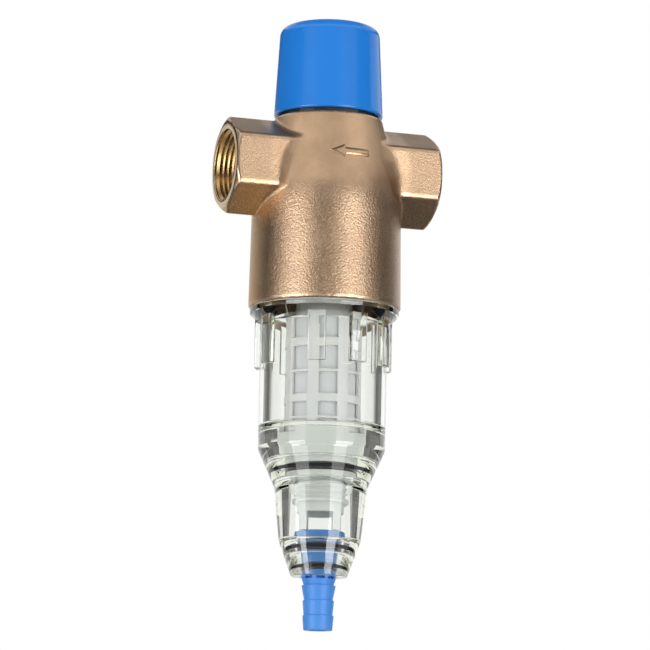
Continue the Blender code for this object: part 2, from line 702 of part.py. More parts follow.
def make_cap():
    """Blue adjusting cap with the spindle that it turns."""
    top_radius = cap_radius - CAP_DRAFT
    hub = DRIVE_ACROSS_FLATS / math.sqrt(3) + FIT + CAP_HUB_WALL
    outline = rounded(
        [
            (0, cap_top, 0),
            (top_radius, cap_top, CAP_ROUND),
            (cap_radius, cap_bottom, CAP_RIM_ROUND),
            (cap_radius - CAP_WALL, cap_bottom, 0),
            (top_radius - CAP_WALL, cap_ceiling, 0),
            (hub, cap_ceiling, 0),
            (hub, hub_bottom, 0),
            (0, hub_bottom, 0),
        ]
    )
    cap = as_part(turned("adjusting_cap", outline, LARGE_FACETS, closed=False), cap_blue, cap_axis)
    socket_depth = DRIVE_LENGTH + OVERCUT
    socket = prism("drive_socket", DRIVE_ACROSS_FLATS + 2 * FIT, hub_bottom - OVERCUT, socket_depth)
    combine(cap, as_cutter(socket), "DIFFERENCE")

    drive_bottom = hub_bottom - FIT
    spindle_bottom = plate_bottom - PLATE_TRAVEL - SPINDLE_TAIL
    collar = SPINDLE_RADIUS + SPINDLE_COLLAR
    outline = [
        (0, drive_bottom),
        (SPINDLE_RADIUS, drive_bottom),
        (SPINDLE_RADIUS, collar_bottom + SPINDLE_COLLAR_HEIGHT),
        (collar, collar_bottom + SPINDLE_COLLAR_HEIGHT),
        (collar, collar_bottom),
        (SPINDLE_RADIUS, collar_bottom),
        (SPINDLE_RADIUS, spindle_bottom),
        (0, spindle_bottom),
    ]
    spindle = as_part(
        turned("adjusting_spindle", outline, THIN_FACETS, closed=False), turned_brass, cap_axis
    )
    drive_height = cap_ceiling - FIT - drive_bottom + OVERCUT
    drive = as_cutter(prism("spindle_drive", DRIVE_ACROSS_FLATS, drive_bottom - OVERCUT, drive_height))
    combine(spindle, drive, "UNION")
    washer = ring("thrust_washer", spindle_hole, collar, washer_bottom, WASHER_THICKNESS)
    as_part(washer, stainless, cap_axis)
    clip_radius = spindle_hole + RETAINING_RING_WIDTH
    clip = ring("retaining_ring", spindle_hole, clip_radius, ring_bottom, WASHER_THICKNESS)
    as_part(clip, spring_steel, cap_axis)


def make_spring():
    """Adjusting spring, one unbroken wire between the spring seat and the spring plate that loads it."""
    plate = ring("spring_plate", spindle_hole, plate_radius, plate_bottom, PLATE_THICKNESS)
    as_part(plate, turned_brass, plate_axis)
    low = spring_seat_top + FIT + WIRE_RADIUS
    rise = plate_bottom - FIT - WIRE_RADIUS - low
    count = SPRING_TURNS * POINTS_PER_TURN + 1
    points = []
    for k in range(count):
        angle = 2 * math.pi * k / POINTS_PER_TURN
        level = low + rise * k / (count - 1)
        points.append(Vector((spring_radius * math.cos(angle), spring_radius * math.sin(angle), level)))
    apart = POINTS_PER_TURN // 2
    pairs = ((p, q) for k, p in enumerate(points) for q in points[k + apart :])
    least = min((p - q).length for p, q in pairs) - 2 * WIRE_RADIUS
    print(f"adjusting_spring: least gap to itself {least * 1000:.2f} mm")
    wire = bpy.data.curves.new("adjusting_spring", "CURVE")
    wire.dimensions = "3D"
    wire.bevel_depth = WIRE_RADIUS
    wire.bevel_resolution = 1
    wire.use_fill_caps = True
    spline = wire.splines.new("POLY")
    spline.points.add(count - 1)
    for point, place in zip(spline.points, points):
        point.co = (*place, 1)
    as_part(bpy.data.objects.new("adjusting_spring", wire), spring_steel)


def make_bowl():
    """Clear bowl: threaded spigot, flange, straight wall with wrench lugs, cone, drain chamber and tip."""
    seal_outer = housing_bore - FIT
    lower_top = lower_radius
    lower_foot = lower_radius - LOWER_DRAFT
    outer = rounded(
        [
            (bowl_spigot_radius, bowl_top, 0),
            *((r, z, 0) for r, z in groove(BOWL_SEAL, seal_outer, bowl_seal_level, bowl_spigot_radius)),
            (bowl_spigot_radius, bowl_thread_top, 0),
            (bowl_thread_radius, bowl_thread_top, 0),
            (bowl_thread_radius, bowl_flange_top, 0),
            (bowl_flange_radius, bowl_flange_top, 0),
            (bowl_flange_radius, bowl_flange_bottom, 0),
            (bowl_radius, bowl_flange_bottom - BOWL_FLANGE_CONE, 0),
            (bowl_radius - BOWL_DRAFT, bowl_wall_end, BOWL_SHOULDER_ROUND),
            (lower_top, bowl_cone_end, 0),
            (lower_foot, lower_end, 0),
            (tip_radius, bowl_bottom, 0),
        ]
    )
    inner = [
        (plug_lower_bore, bowl_bottom),
        (plug_lower_bore, plug_step_level),
        (plug_upper_bore, plug_step_level),
        (plug_upper_bore, drain_floor),
        (drain_chamber_radius, drain_floor),
        (drain_chamber_radius, foot_stop_level),
        (foot_bore, foot_stop_level),
        (foot_bore, foot_ledge_level),
        (foot_flange_bore, foot_ledge_level),
        (foot_flange_bore, bowl_floor),
        (bowl_bore, bowl_floor + (bowl_bore - foot_flange_bore) / 2),
        (bowl_bore, bowl_top),
    ]
    outline = [tuple(p) for p in outer] + inner
    bowl = as_part(turned("bowl", outline, LARGE_FACETS), clear_bowl, bowl_axis)

    inside = bowl_radius - BOWL_WALL / 3
    outside = bowl_radius + LUG_HEIGHT
    bottom = bowl_flange_bottom - LUG_LENGTH
    slope = BOWL_FLANGE_CONE / (bowl_flange_radius - bowl_radius)
    top = bowl_flange_bottom - slope * (bowl_flange_radius - outside) + OVERCUT
    size = (LUG_WIDTH, outside - inside, top - bottom)
    middle = Matrix.Translation((0, -(inside + outside) / 2, (top + bottom) / 2))
    turns = [LUG_TURN + 2 * math.pi * k / LUG_COUNT for k in range(LUG_COUNT)]
    lugs = boxes("bowl_lugs", [(size, around(turn) @ middle) for turn in turns])
    combine(bowl, as_cutter(lugs), "UNION")
    as_part(seal("bowl_o_ring", BOWL_SEAL, seal_outer, bowl_seal_level), seal_black, bowl_axis)


def cage_rows():
    """Rows of the cage's middle surface as (radius, level, holds windows below it), from its collar down."""
    tube = CAGE_RADIUS - CAGE_WALL / 2
    base = cage_bottom + CAGE_WALL / 2
    level = base + CAGE_BASE_RIM
    rows = [(tube, base, False)]
    rings = (CAGE_THIN_RING, CAGE_THICK_RING)
    for k, height in enumerate(CAGE_WINDOWS):
        rows.append((tube, level, False))
        rows.append((tube, level + height, True))
        level += height + rings[k % 2]
    shoulder = rows[-1][1] + CAGE_TOP_BAND
    collar = socket_radius + CAGE_WALL / 2
    rows.append((tube, shoulder, False))
    rows.append((collar, shoulder + CAGE_TOP_CONE, False))
    rows.append((collar, cage_top, False))
    return rows[::-1]


def make_filter():
    """White filter cage with ribs, rings and a closed base, and the mesh sleeve inside it."""
    rows = cage_rows()
    tube = CAGE_RADIUS - CAGE_WALL / 2
    bay = 2 * math.pi / CAGE_BAYS
    rib = CAGE_RIB / tube
    window = (bay - rib) / 3
    angles = []
    for k in range(CAGE_BAYS):
        start = CAGE_TURN - rib / 2 + k * bay
        angles += [start, start + rib, start + rib + window, start + rib + 2 * window]
    shape = bmesh.new()
    loops = []
    for r, z, _ in rows:
        loops.append([shape.verts.new(around(a) @ Vector((0, -r, z))) for a in angles])
    count = len(angles)
    for i in range(len(rows) - 1):
        for j in range(count):
            if rows[i][2] and j % 4:
                continue
            k = (j + 1) % count
            shape.faces.new((loops[i][j], loops[i + 1][j], loops[i + 1][k], loops[i][k]))
    pole = shape.verts.new((0, 0, rows[-1][1]))
    for j in range(count):
        shape.faces.new((loops[-1][j], pole, loops[-1][(j + 1) % count]))
    mesh = bpy.data.meshes.new("filter_cage")
    shape.to_mesh(mesh)
    shape.free()
    cage = as_part(bpy.data.objects.new("filter_cage", mesh), filter_white, bowl_axis)
    wall = cage.modifiers.new("wall", "SOLIDIFY")
    wall.thickness = CAGE_WALL
    wall.offset = 0
    wall.use_even_offset = True

    outer = CAGE_RADIUS - CAGE_WALL - FIT
    bottom = cage_bottom + CAGE_WALL + FIT
    top = max(z for _, z, has_window in rows if has_window) + MESH_MARGIN
    sleeve = ring("filter_mesh", outer - MESH_THICKNESS, outer, bottom, top - bottom)
    as_part(sleeve, mesh_grey, bowl_axis)


def make_foot():
    """Filter foot: the cup under the cage, its seal in the bowl and the thread of the drain sleeve."""
    flange = foot_flange_bore - FIT
    land = foot_bore - 2 * FIT
    seal_outer = foot_bore - FIT
    cup = flange - FOOT_CUP_WALL
    outline = [
        (flange, foot_top),
        (flange, foot_ledge_level + FIT),
        (land, foot_ledge_level + FIT),
        *groove(FOOT_SEAL, seal_outer, foot_seal_level, land),
        (land, foot_bottom),
        (foot_thread_bore, foot_bottom),
        (foot_thread_bore, foot_thread_top),
        (SLEEVE_BORE, foot_thread_top),
        (SLEEVE_BORE, foot_cup_floor),
        (cup, foot_cup_floor),
        (cup, foot_top),
    ]
    foot = as_part(turned("filter_foot", outline, SMALL_FACETS), sleeve_white, bowl_axis)
    top = foot_top + OVERCUT
    bottom = foot_cup_floor - FOOT_SLOT_DEPTH
    size = (4 * flange, FOOT_SLOT_WIDTH, top - bottom)
    middle = Matrix.Translation((0, 0, (top + bottom) / 2))
    for name, turn in (("foot_slot_across", 0), ("foot_slot_along", math.pi / 2)):
        slot = boxes(name, [(size, around(SLEEVE_TURN + math.pi / 4 + turn) @ middle)])
        combine(foot, as_cutter(slot), "DIFFERENCE")
    as_part(seal("foot_o_ring", FOOT_SEAL, seal_outer, foot_seal_level), seal_black, bowl_axis)


def make_drain():
    """Drain valve: the threaded sleeve in the foot, and the blue plug with its seals and hose barb."""
    collar_bottom_level = sleeve_collar_top - SLEEVE_COLLAR_HEIGHT
    outline = [
        (sleeve_thread_radius, sleeve_top),
        (sleeve_thread_radius, sleeve_collar_top),
        (sleeve_collar_radius, sleeve_collar_top),
        (sleeve_collar_radius, collar_bottom_level),
        (sleeve_radius, collar_bottom_level),
        (sleeve_radius, sleeve_bottom),
        (SLEEVE_BORE, sleeve_bottom),
        (SLEEVE_BORE, sleeve_top),
    ]
    sleeve = as_part(turned("drain_sleeve", outline, SMALL_FACETS), sleeve_white, drain_axis)
    bottom = sleeve_bottom - OVERCUT
    size = (SLEEVE_WINDOW_WIDTH, 4 * sleeve_radius, sleeve_window_top - bottom)
    middle = Matrix.Translation((0, 0, (sleeve_window_top + bottom) / 2))
    for name, turn in (("sleeve_window_front", 0), ("sleeve_window_side", math.pi / 2)):
        window = boxes(name, [(size, around(SLEEVE_TURN + turn) @ middle)])
        combine(sleeve, as_cutter(window), "DIFFERENCE")

    upper_outer = plug_upper_bore - FIT
    lower_outer = plug_lower_bore - FIT
    step = upper_seal_level - PLUG_SEAL_UPPER - FIT - PLUG_LAND
    neck_top = bowl_bottom
    outline = [
        (0, plug_head_top),
        (plug_head_radius, plug_head_top),
        (plug_head_radius, drain_floor + FIT),
        (plug_upper_radius, drain_floor + FIT),
        *groove(PLUG_SEAL_UPPER, upper_outer, upper_seal_level, plug_upper_radius),
        (plug_upper_radius, step),
        (plug_lower_radius, step),
        *groove(PLUG_SEAL_LOWER, lower_outer, lower_seal_level, plug_lower_radius),
        (plug_lower_radius, neck_top),
        (plug_lower_radius - BARB_NECK_DROP, neck_top - BARB_NECK),
    ]
    level = neck_top - BARB_NECK
    for _ in range(BARB_COUNT):
        outline.append((BARB_CREST, level - BARB_LEDGE))
        outline.append((BARB_ROOT, level - BARB_PITCH))
        level -= BARB_PITCH
    cross_level = (step + lower_seal_level + PLUG_SEAL_LOWER + FIT) / 2
    outline += [(BARB_BORE, level), (BARB_BORE, cross_level), (0, cross_level)]
    plug = as_part(turned("drain_plug", outline, SMALL_FACETS, closed=False), barb_blue, drain_axis)
    drill = [
        (0, plug_upper_bore),
        (PLUG_CROSS_HOLE, plug_upper_bore),
        (PLUG_CROSS_HOLE, -plug_upper_bore),
        (0, -plug_upper_bore),
    ]
    cross = as_cutter(turned("plug_cross_hole", drill, 8, closed=False))
    cross.location.z = cross_level
    cross.rotation_euler = (0, math.pi / 2, 0)
    combine(plug, cross, "DIFFERENCE")
    seals = (
        ("drain_o_ring_upper", PLUG_SEAL_UPPER, upper_outer, upper_seal_level),
        ("drain_o_ring_lower", PLUG_SEAL_LOWER, lower_outer, lower_seal_level),
    )
    for name, section, outer, level in seals:
        as_part(seal(name, section, outer, level), seal_black, drain_axis)


make_housing()
make_valve_insert()
make_valve()
make_diaphragm()
make_bonnet()
make_cap()
make_spring()
make_bowl()
make_filter()
make_foot()
make_drain()
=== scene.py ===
# %% [markdown]
# # A water pressure regulator with a clear filter bowl
# The real object hangs in a house's water pipe. A bronze casting holds a spring-loaded valve under a blue
# cap, and a clear bowl below it holds a filter, with a drain at the tip. The CAD model already fixes every
# size, place and joint, so this lesson loads it first and only adds the surfaces that the eye sees.

# %% Load the CAD frame
import json
import math

import bmesh
import bpy
import numpy as np
from mathutils import Matrix, Vector


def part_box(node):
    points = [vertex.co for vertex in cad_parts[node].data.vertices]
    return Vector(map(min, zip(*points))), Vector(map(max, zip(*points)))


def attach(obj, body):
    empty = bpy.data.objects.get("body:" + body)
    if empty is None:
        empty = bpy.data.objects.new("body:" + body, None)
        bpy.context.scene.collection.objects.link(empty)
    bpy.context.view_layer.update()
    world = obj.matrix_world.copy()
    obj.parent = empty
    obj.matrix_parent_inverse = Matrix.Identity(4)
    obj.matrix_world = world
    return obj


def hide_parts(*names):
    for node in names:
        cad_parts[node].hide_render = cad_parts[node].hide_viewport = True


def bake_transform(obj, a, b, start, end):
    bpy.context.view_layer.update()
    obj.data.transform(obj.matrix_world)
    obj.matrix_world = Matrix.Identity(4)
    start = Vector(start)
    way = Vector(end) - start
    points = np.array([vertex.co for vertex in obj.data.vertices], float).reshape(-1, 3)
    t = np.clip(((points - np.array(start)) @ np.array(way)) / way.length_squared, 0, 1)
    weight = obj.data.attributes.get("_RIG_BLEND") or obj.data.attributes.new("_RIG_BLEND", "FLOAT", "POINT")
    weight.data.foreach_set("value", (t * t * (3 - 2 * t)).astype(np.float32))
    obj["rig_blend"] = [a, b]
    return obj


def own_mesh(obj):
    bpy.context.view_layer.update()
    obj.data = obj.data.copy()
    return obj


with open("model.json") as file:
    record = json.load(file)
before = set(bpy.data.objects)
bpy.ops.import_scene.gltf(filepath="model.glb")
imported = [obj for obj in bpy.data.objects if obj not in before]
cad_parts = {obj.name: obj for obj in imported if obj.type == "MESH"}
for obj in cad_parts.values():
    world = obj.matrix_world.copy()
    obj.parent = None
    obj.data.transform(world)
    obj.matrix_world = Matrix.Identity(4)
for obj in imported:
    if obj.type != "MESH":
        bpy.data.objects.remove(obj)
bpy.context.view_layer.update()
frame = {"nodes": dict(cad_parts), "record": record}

print("CAD nodes:", len(frame["nodes"]))

# %% [markdown]
# ## Camera
# The photograph looks up at the regulator from a little below and from the outlet's side, through a long
# lens. A camera could be placed by eye, but these values come from fitting the outlines of ports, barrel
# and bowl, so that the render lines up with the picture.

# %% Place the camera
CAMERA_PLACE = Vector((-0.3955, -1.1727, -0.2622))
CAMERA_AIM = Vector((0.000385, 0, -0.05703))
CAMERA_ROLL = math.radians(1.19)
CAMERA_LENS = 188.03
CAMERA_TURN = math.radians(-18.65)

scene = bpy.context.scene
scene.view_settings.view_transform = "Standard"
camera = bpy.data.objects.new("camera", bpy.data.cameras.new("camera"))
scene.collection.objects.link(camera)
camera.data.lens = CAMERA_LENS
camera.data.sensor_width = 36
camera.data.clip_start = 0.05
camera.location = CAMERA_PLACE
look = (CAMERA_AIM - CAMERA_PLACE).to_track_quat("-Z", "Y")
camera.rotation_euler = (look.to_matrix() @ Matrix.Rotation(CAMERA_ROLL, 3, "Z")).to_euler()
scene.camera = camera
print("camera at", [round(c, 3) for c in camera.location])

# %% [markdown]
# ## Writing node trees as expressions
# Materials and Geometry Nodes are both graphs of nodes. Linking sockets by hand soon hides the idea, so a
# small class stands for one output socket and turns arithmetic into Math nodes. Every other node comes from
# one method, which takes the node's type, what goes into its sockets and its settings.


# %% Wires and graphs
def operator(operation, swapped=False):
    """A method that puts a wire and another value into a Math node."""

    def method(wire, other=0.0):
        values = (other, wire) if swapped else (wire, other)
        return wire.graph.maths(operation, *values)

    return method


class Wire:
    """One output socket. Arithmetic on it adds Math nodes to its graph."""

    def __init__(self, graph, socket):
        self.graph = graph
        self.socket = socket

    __add__ = __radd__ = operator("ADD")
    __sub__ = operator("SUBTRACT")
    __rsub__ = operator("SUBTRACT", swapped=True)
    __mul__ = __rmul__ = operator("MULTIPLY")
    __truediv__ = operator("DIVIDE")
    __pow__ = operator("POWER")
    __lt__ = operator("LESS_THAN")
    __gt__ = operator("GREATER_THAN")
    __abs__ = operator("ABSOLUTE")


class Graph:
    """A node tree that grows by one method, with short forms for arithmetic."""

    def __init__(self, tree):
        self.tree = tree

    def join(self, value, socket):
        if isinstance(value, Wire):
            self.tree.links.new(value.socket, socket)
        else:
            socket.default_value = value

    def show(self, shader, output="Material Output", socket="Surface"):
        self.join(shader, self.tree.nodes[output].inputs[socket])

    def node(self, kind, inputs=None, output=0, **settings):
        made = self.tree.nodes.new(kind)
        for name, value in settings.items():
            setattr(made, name, value)
        for name, value in (inputs or {}).items():
            self.join(value, made.inputs[name])
        return Wire(self, made.outputs[output])

    def maths(self, operation, *values):
        return self.node("ShaderNodeMath", dict(enumerate(values)), operation=operation)

    def vectors(self, operation, *values, output=0):
        return self.node("ShaderNodeVectorMath", dict(enumerate(values)), output, operation=operation)


print("classes for node trees:", Wire.__name__, Graph.__name__)

# %% [markdown]
# ## Finishes
# Each finish is a Principled shader. Numbers that are the same all over the surface are set on the shader's
# own sockets, and what changes over it is worked out from Object coordinates, so it stays on the piece from
# every side.


# %% Helpers for finishes
class Finish(Graph):
    """A material with one Principled shader."""

    def __init__(self, name, constants):
        self.material = bpy.data.materials.new(name)
        self.material.use_nodes = True
        super().__init__(self.material.node_tree)
        self.shader = self.tree.nodes["Principled BSDF"]
        self.paint(constants)
        self.place = self.node("ShaderNodeTexCoord", output="Object")

    def paint(self, values):
        for name, value in values.items():
            self.join(value, self.shader.inputs[name])

    def axes(self):
        split = self.tree.nodes.new("ShaderNodeSeparateXYZ")
        self.join(self.place, split.inputs[0])
        return [Wire(self, out) for out in split.outputs]

    def layer(self, name):
        """A number that each point of the mesh carries under this name."""
        return self.node("ShaderNodeAttribute", output="Fac", attribute_name=name)

    def noise(self, size, detail=2.0, roughness=0.5):
        """Noise from 0 to 1 whose features are about this size, in metres."""
        inputs = {"Vector": self.place, "Scale": 1 / size, "Detail": detail, "Roughness": roughness}
        return self.node("ShaderNodeTexNoise", inputs)

    def blend(self, factor, first, second):
        """A colour between two colours, each one a wire or three numbers."""
        first, second = (c if isinstance(c, Wire) else (*c, 1) for c in (first, second))
        return self.node("ShaderNodeMix", {0: factor, 6: first, 7: second}, 2, data_type="RGBA")

    def ease(self, value, start, end):
        """A soft step from 0 at start to 1 at end."""
        inputs = {"Value": value, "From Min": start, "From Max": end}
        return self.node("ShaderNodeMapRange", inputs, interpolation_type="SMOOTHSTEP")

    def bump(self, height, depth, strength=1.0):
        inputs = {"Height": height, "Distance": depth, "Strength": strength}
        self.paint({"Normal": self.node("ShaderNodeBump", inputs)})


finishes = {}
print("finishes ready to be made")

# %% [markdown]
# ### Cast bronze
# The body is sand-cast and shot-blasted: a leathery grain on the barrel, a finer one on the neck and the
# ports, and bright turned metal inside the ports. One material with masks by place keeps the casting in one
# piece, where separate materials would leave hard borders.

# %% Cast bronze
BARREL_BLEND = (-0.004, -0.013)
PORT_BLEND = (0.0255, 0.0285)
BORE_EDGE = 0.0134
BORE_START = 0.0165
FACE_EDGE = 0.0163
FACE_START = 0.0397
# Painted reflection: a golden glow on the lower faces of the left port, as if lit from the left and below.
REFLECTION_SIDE = (-0.022, -0.028)
REFLECTION_LEVELS = (-0.006, -0.011)
COARSE_GRAIN = 0.00068
FINE_GRAIN = 0.0006
PATCH_SIZE = 0.016
GRAIN_DEPTH = 0.00027
CAST_TONES = ((0.44, 0.295, 0.188), (0.53, 0.37, 0.238))
SMOOTH_TONES = ((0.43, 0.285, 0.175), (0.55, 0.372, 0.235))
PITTED = (0.325, 0.212, 0.13)
PORT_METAL = (0.34, 0.228, 0.145)
REFLECTION_TINT = (0.66, 0.42, 0.21)
WORN = (0.66, 0.49, 0.335)
# Painted shade: a dark tint laid along the creases where the ports meet the barrel.
CREASE_SHADE_TINT = (0.24, 0.125, 0.05)
TURNED = (0.52, 0.37, 0.215)
TURNED_ROUGHNESS = 0.24


def cast_bronze():
    finish = Finish("cast_bronze", {"Metallic": 1.0, "Coat Roughness": 0.3})
    x, y, z = finish.axes()
    across = (y * y + z * z) ** 0.5
    bored = (across < BORE_EDGE) * (abs(x) > BORE_START)
    faced = (abs(x) > FACE_START) * (across < FACE_EDGE)
    turned_metal = finish.maths("MAXIMUM", bored, faced)
    barrel = finish.ease(z, *BARREL_BLEND)
    port = finish.ease(abs(x), *PORT_BLEND)
    neck = (1 - barrel) * (1 - port)
    # Painted reflection on the lower faces of the left port.
    painted_reflection = finish.ease(x, *REFLECTION_SIDE) * finish.ease(z, *REFLECTION_LEVELS) * port
    coarse = finish.noise(COARSE_GRAIN, 2.0, 0.62)
    fine = finish.noise(FINE_GRAIN, 2.0, 0.55)
    grain = coarse * barrel + fine * (1 - barrel) * (0.3 + 0.15 * port)
    patches = finish.noise(PATCH_SIZE, 3.0, 0.6)
    speckle = finish.noise(FINE_GRAIN, 1.0)
    tone = finish.ease(patches * 0.8 + speckle * 0.2, 0.36, 0.64)
    worn = finish.layer("edge")
    # The crease layer carries painted shade, which darkens and dulls the metal in the fillets.
    crease_shade = finish.layer("crease")
    layers = (
        (finish.ease(coarse, 0.6, 0.36) * barrel, 0.75, PITTED),
        (neck, 0.85, finish.blend(tone, *SMOOTH_TONES)),
        (port, 0.5, PORT_METAL),
        (painted_reflection, 0.8, REFLECTION_TINT),
        (worn, 0.8, WORN),
        (crease_shade, 0.7, CREASE_SHADE_TINT),
        (turned_metal, 1.0, TURNED),
    )
    colour = finish.blend(tone, *CAST_TONES)
    for mask, share, tint in layers:
        colour = finish.blend(mask * share, colour, tint)
    dull = 0.33 + 0.09 * port + 0.12 * (speckle - 0.5) - 0.12 * worn + 0.2 * crease_shade
    rough = dull * (1 - turned_metal) + TURNED_ROUGHNESS * turned_metal
    coat = 0.4 * barrel * (1 - port)
    finish.paint({"Base Color": colour, "Roughness": rough, "Coat Weight": coat})
    finish.bump(grain * (1 - turned_metal) * (1 - 0.6 * worn), GRAIN_DEPTH, 0.85)
    return finish.material


finishes["cast_bronze"] = cast_bronze()
print("made", finishes["cast_bronze"].name)

# %% [markdown]
# ### Metals inside
# Brass, stainless steel and spring steel are turned, drawn or stamped, so they show fine marks and a little
# change of gloss instead of grain. One function with a few arguments covers all of them: the colour, the
# roughness and the size of the marks.

# %% Turned and drawn metals
METALS = {
    "turned_brass": ((0.46, 0.30, 0.13), 0.26, 0.0004),
    "spring_steel": ((0.42, 0.42, 0.43), 0.32, 0.0005),
    "stainless": ((0.62, 0.61, 0.59), 0.26, 0.0004),
}
METAL_CLOUDS = 14
METAL_DARKER = 0.86
MARK_DEPTH = 0.00003


def fine_metal(name, colour, roughness, mark_size):
    finish = Finish(name, {"Metallic": 1.0})
    marks = finish.noise(mark_size)
    clouds = finish.noise(mark_size * METAL_CLOUDS)
    dark = [c * METAL_DARKER for c in colour]
    rough = roughness + 0.12 * (marks - 0.5)
    finish.paint({"Base Color": finish.blend(clouds, dark, colour), "Roughness": rough})
    finish.bump(marks, MARK_DEPTH, 0.4)
    return finish.material


for name, values in METALS.items():
    finishes[name] = fine_metal(name, *values)
print("metals:", ", ".join(METALS))

# %% [markdown]
# ### Moulded plastics and rubber
# Moulded plastic is one colour all through, but never perfectly even: the mould leaves a faint orange peel
# and slow changes of tone. Rubber is darker and duller, with a fine dusty bloom. Each row of the table gives
# a colour, the roughness, the size of the peel, the index of refraction and the specular level. The plug
# inside the bowl has painted shade, a deeper blue above a level, so its row adds two levels and a colour, and
# the milky ones add how light passes into them.

# %% Opaque plastics and rubber
MILKY = {"Subsurface Weight": 0.25, "Subsurface Radius": (0.003, 0.003, 0.0027)}
HAZY = {"Transmission Weight": 0.22}
# Painted shade: above these levels, inside the bowl, the drain plug takes a deeper blue.
SHADED_IN_BOWL = (-0.1508, -0.1492, (0.004, 0.115, 0.345))
PLASTICS = {
    "cap_blue": ((0.016, 0.225, 0.75), 0.16, 0.0012, 1.48, 0.4),
    "barb_blue": ((0.07, 0.285, 0.78), 0.45, 0.0008, 1.5, 0.25, {}, SHADED_IN_BOWL),
    "bonnet_black": ((0.018, 0.018, 0.02), 0.45, 0.0006, 1.5, 0.5),
    "seal_black": ((0.006, 0.0065, 0.009), 0.5, 0.0003, 1.42, 0.2),
    "diaphragm_black": ((0.02, 0.02, 0.021), 0.6, 0.0005, 1.52, 0.5),
    "filter_white": ((0.55, 0.56, 0.555), 0.42, 0.0007, 1.46, 0.15, MILKY),
    "sleeve_white": ((0.58, 0.61, 0.59), 0.34, 0.0009, 1.46, 0.15, HAZY),
}
PLASTIC_CLOUDS = 0.02
PLASTIC_DARKER = 0.93
PEEL_DEPTH = 0.00002


def moulded(name, colour, roughness, peel, ior, specular, more=None, part=None):
    """A moulded plastic. A part of it, above a level, may have a tone of its own: painted shade."""
    finish = Finish(name, {"IOR": ior, "Specular IOR Level": specular, **(more or {})})
    clouds = finish.noise(PLASTIC_CLOUDS)
    peel_noise = finish.noise(peel)
    shade = finish.blend(clouds, [c * PLASTIC_DARKER for c in colour], colour)
    if part:
        start, end, tone = part
        shade = finish.blend(finish.ease(finish.axes()[2], start, end), shade, tone)
    finish.paint({"Base Color": shade, "Roughness": roughness + 0.08 * (peel_noise - 0.5)})
    finish.bump(peel_noise, PEEL_DEPTH, 0.25)
    return finish.material


for name, values in PLASTICS.items():
    finishes[name] = moulded(name, *values)
print("plastics and rubber:", ", ".join(PLASTICS))

# %% [markdown]
# ### Clear bowl and filter screen
# The bowl is thick clear plastic with a trace of green. It has to be a real closed wall so that it bends
# light as the real one does. The screen is a fine weave: too fine to model, so its wires are two crossed
# waves round the sleeve and along it.

# %% Bowl and screen finishes
BOWL_TONES = ((0.982, 0.994, 0.98), (0.988, 0.997, 0.985))
BOWL_CLOUDS = 0.03
BOWL_SMEARS = 0.01
BOWL_TINT = (0.6, 0.7, 0.15, 1)
BOWL_TINT_DENSITY = 7.0
FROSTED_TIP = (-0.1425, -0.1455)
FROST = 0.1
SCREEN_TONES = ((0.44, 0.46, 0.48), (0.62, 0.64, 0.66))
WARP_WIRES = 320
WEFT_PITCH = 0.00025
WEAVE_DEPTH = 0.00005


def clear_bowl():
    finish = Finish("clear_bowl", {"Transmission Weight": 1.0, "IOR": 1.56})
    colour = finish.blend(finish.noise(BOWL_CLOUDS, 1.0), *BOWL_TONES)
    frost = FROST * finish.ease(finish.axes()[2], *FROSTED_TIP)
    finish.paint({"Base Color": colour, "Roughness": 0.008 + 0.012 * finish.noise(BOWL_SMEARS) + frost})
    inputs = {"Color": BOWL_TINT, "Density": BOWL_TINT_DENSITY}
    finish.show(finish.node("ShaderNodeVolumeAbsorption", inputs), socket="Volume")
    return finish.material


def mesh_grey():
    finish = Finish("mesh_grey", {"Specular IOR Level": 0.15})
    x, y, z = finish.axes()
    warp = finish.maths("SINE", finish.maths("ARCTAN2", y, x) * WARP_WIRES)
    weft = finish.maths("SINE", z * (2 * math.pi / WEFT_PITCH))
    weave = 0.5 + 0.25 * (warp + weft)
    finish.paint({"Base Color": finish.blend(weave, *SCREEN_TONES), "Roughness": 0.42 + 0.1 * weave})
    finish.bump(weave, WEAVE_DEPTH, 0.5)
    return finish.material


finishes["clear_bowl"] = clear_bowl()
finishes["mesh_grey"] = mesh_grey()
print("slots with a finish:", sorted(finishes))

# %% [markdown]
# ## Shape helpers
# Nearly every piece is turned. An outline is a short list of corners in millimetres, each with its radius
# from the axis, its level and how far it is rounded; arcs are worked out. The Screw modifier then turns the
# outline, which keeps the wall closed and the poles merged. A long straight run gets one more point near each
# end, because smooth shading would otherwise spread the bend of a rounded edge over the whole run.

# %% Turned pieces
MM = 0.001
TURNED_FACETS = 96
FINE_FACETS = 128
SHARP_EDGE = math.radians(32)
ARC_STEPS = 5
MOST_OF_RUN = 0.45
LONG_RUN = 1.5
HOLD = 0.2
POLE_MERGE = 0.00001


def arcs(corners):
    """Points through (radius, level, rounding) corners, with an arc at each rounded one."""
    points = []
    last = len(corners) - 1
    for i, (radius, level, rounding) in enumerate(corners):
        here = Vector((radius, level))
        if rounding == 0 or i in (0, last):
            points.append(here)
            continue
        back = Vector(corners[i - 1][:2]) - here
        ahead = Vector(corners[i + 1][:2]) - here
        half = back.angle(ahead) / 2
        shorter = min(back.length, ahead.length)
        reach = min(rounding / math.tan(half), MOST_OF_RUN * shorter)
        size = reach * math.tan(half)
        back.normalize()
        ahead.normalize()
        centre = here + (back + ahead).normalized() * (size / math.sin(half))
        start = here + back * reach - centre
        sweep = start.angle_signed(here + ahead * reach - centre)
        for k in range(ARC_STEPS + 1):
            spoke = start.copy()
            spoke.rotate(Matrix.Rotation(-sweep * k / ARC_STEPS, 2))
            points.append(centre + spoke)
    return points


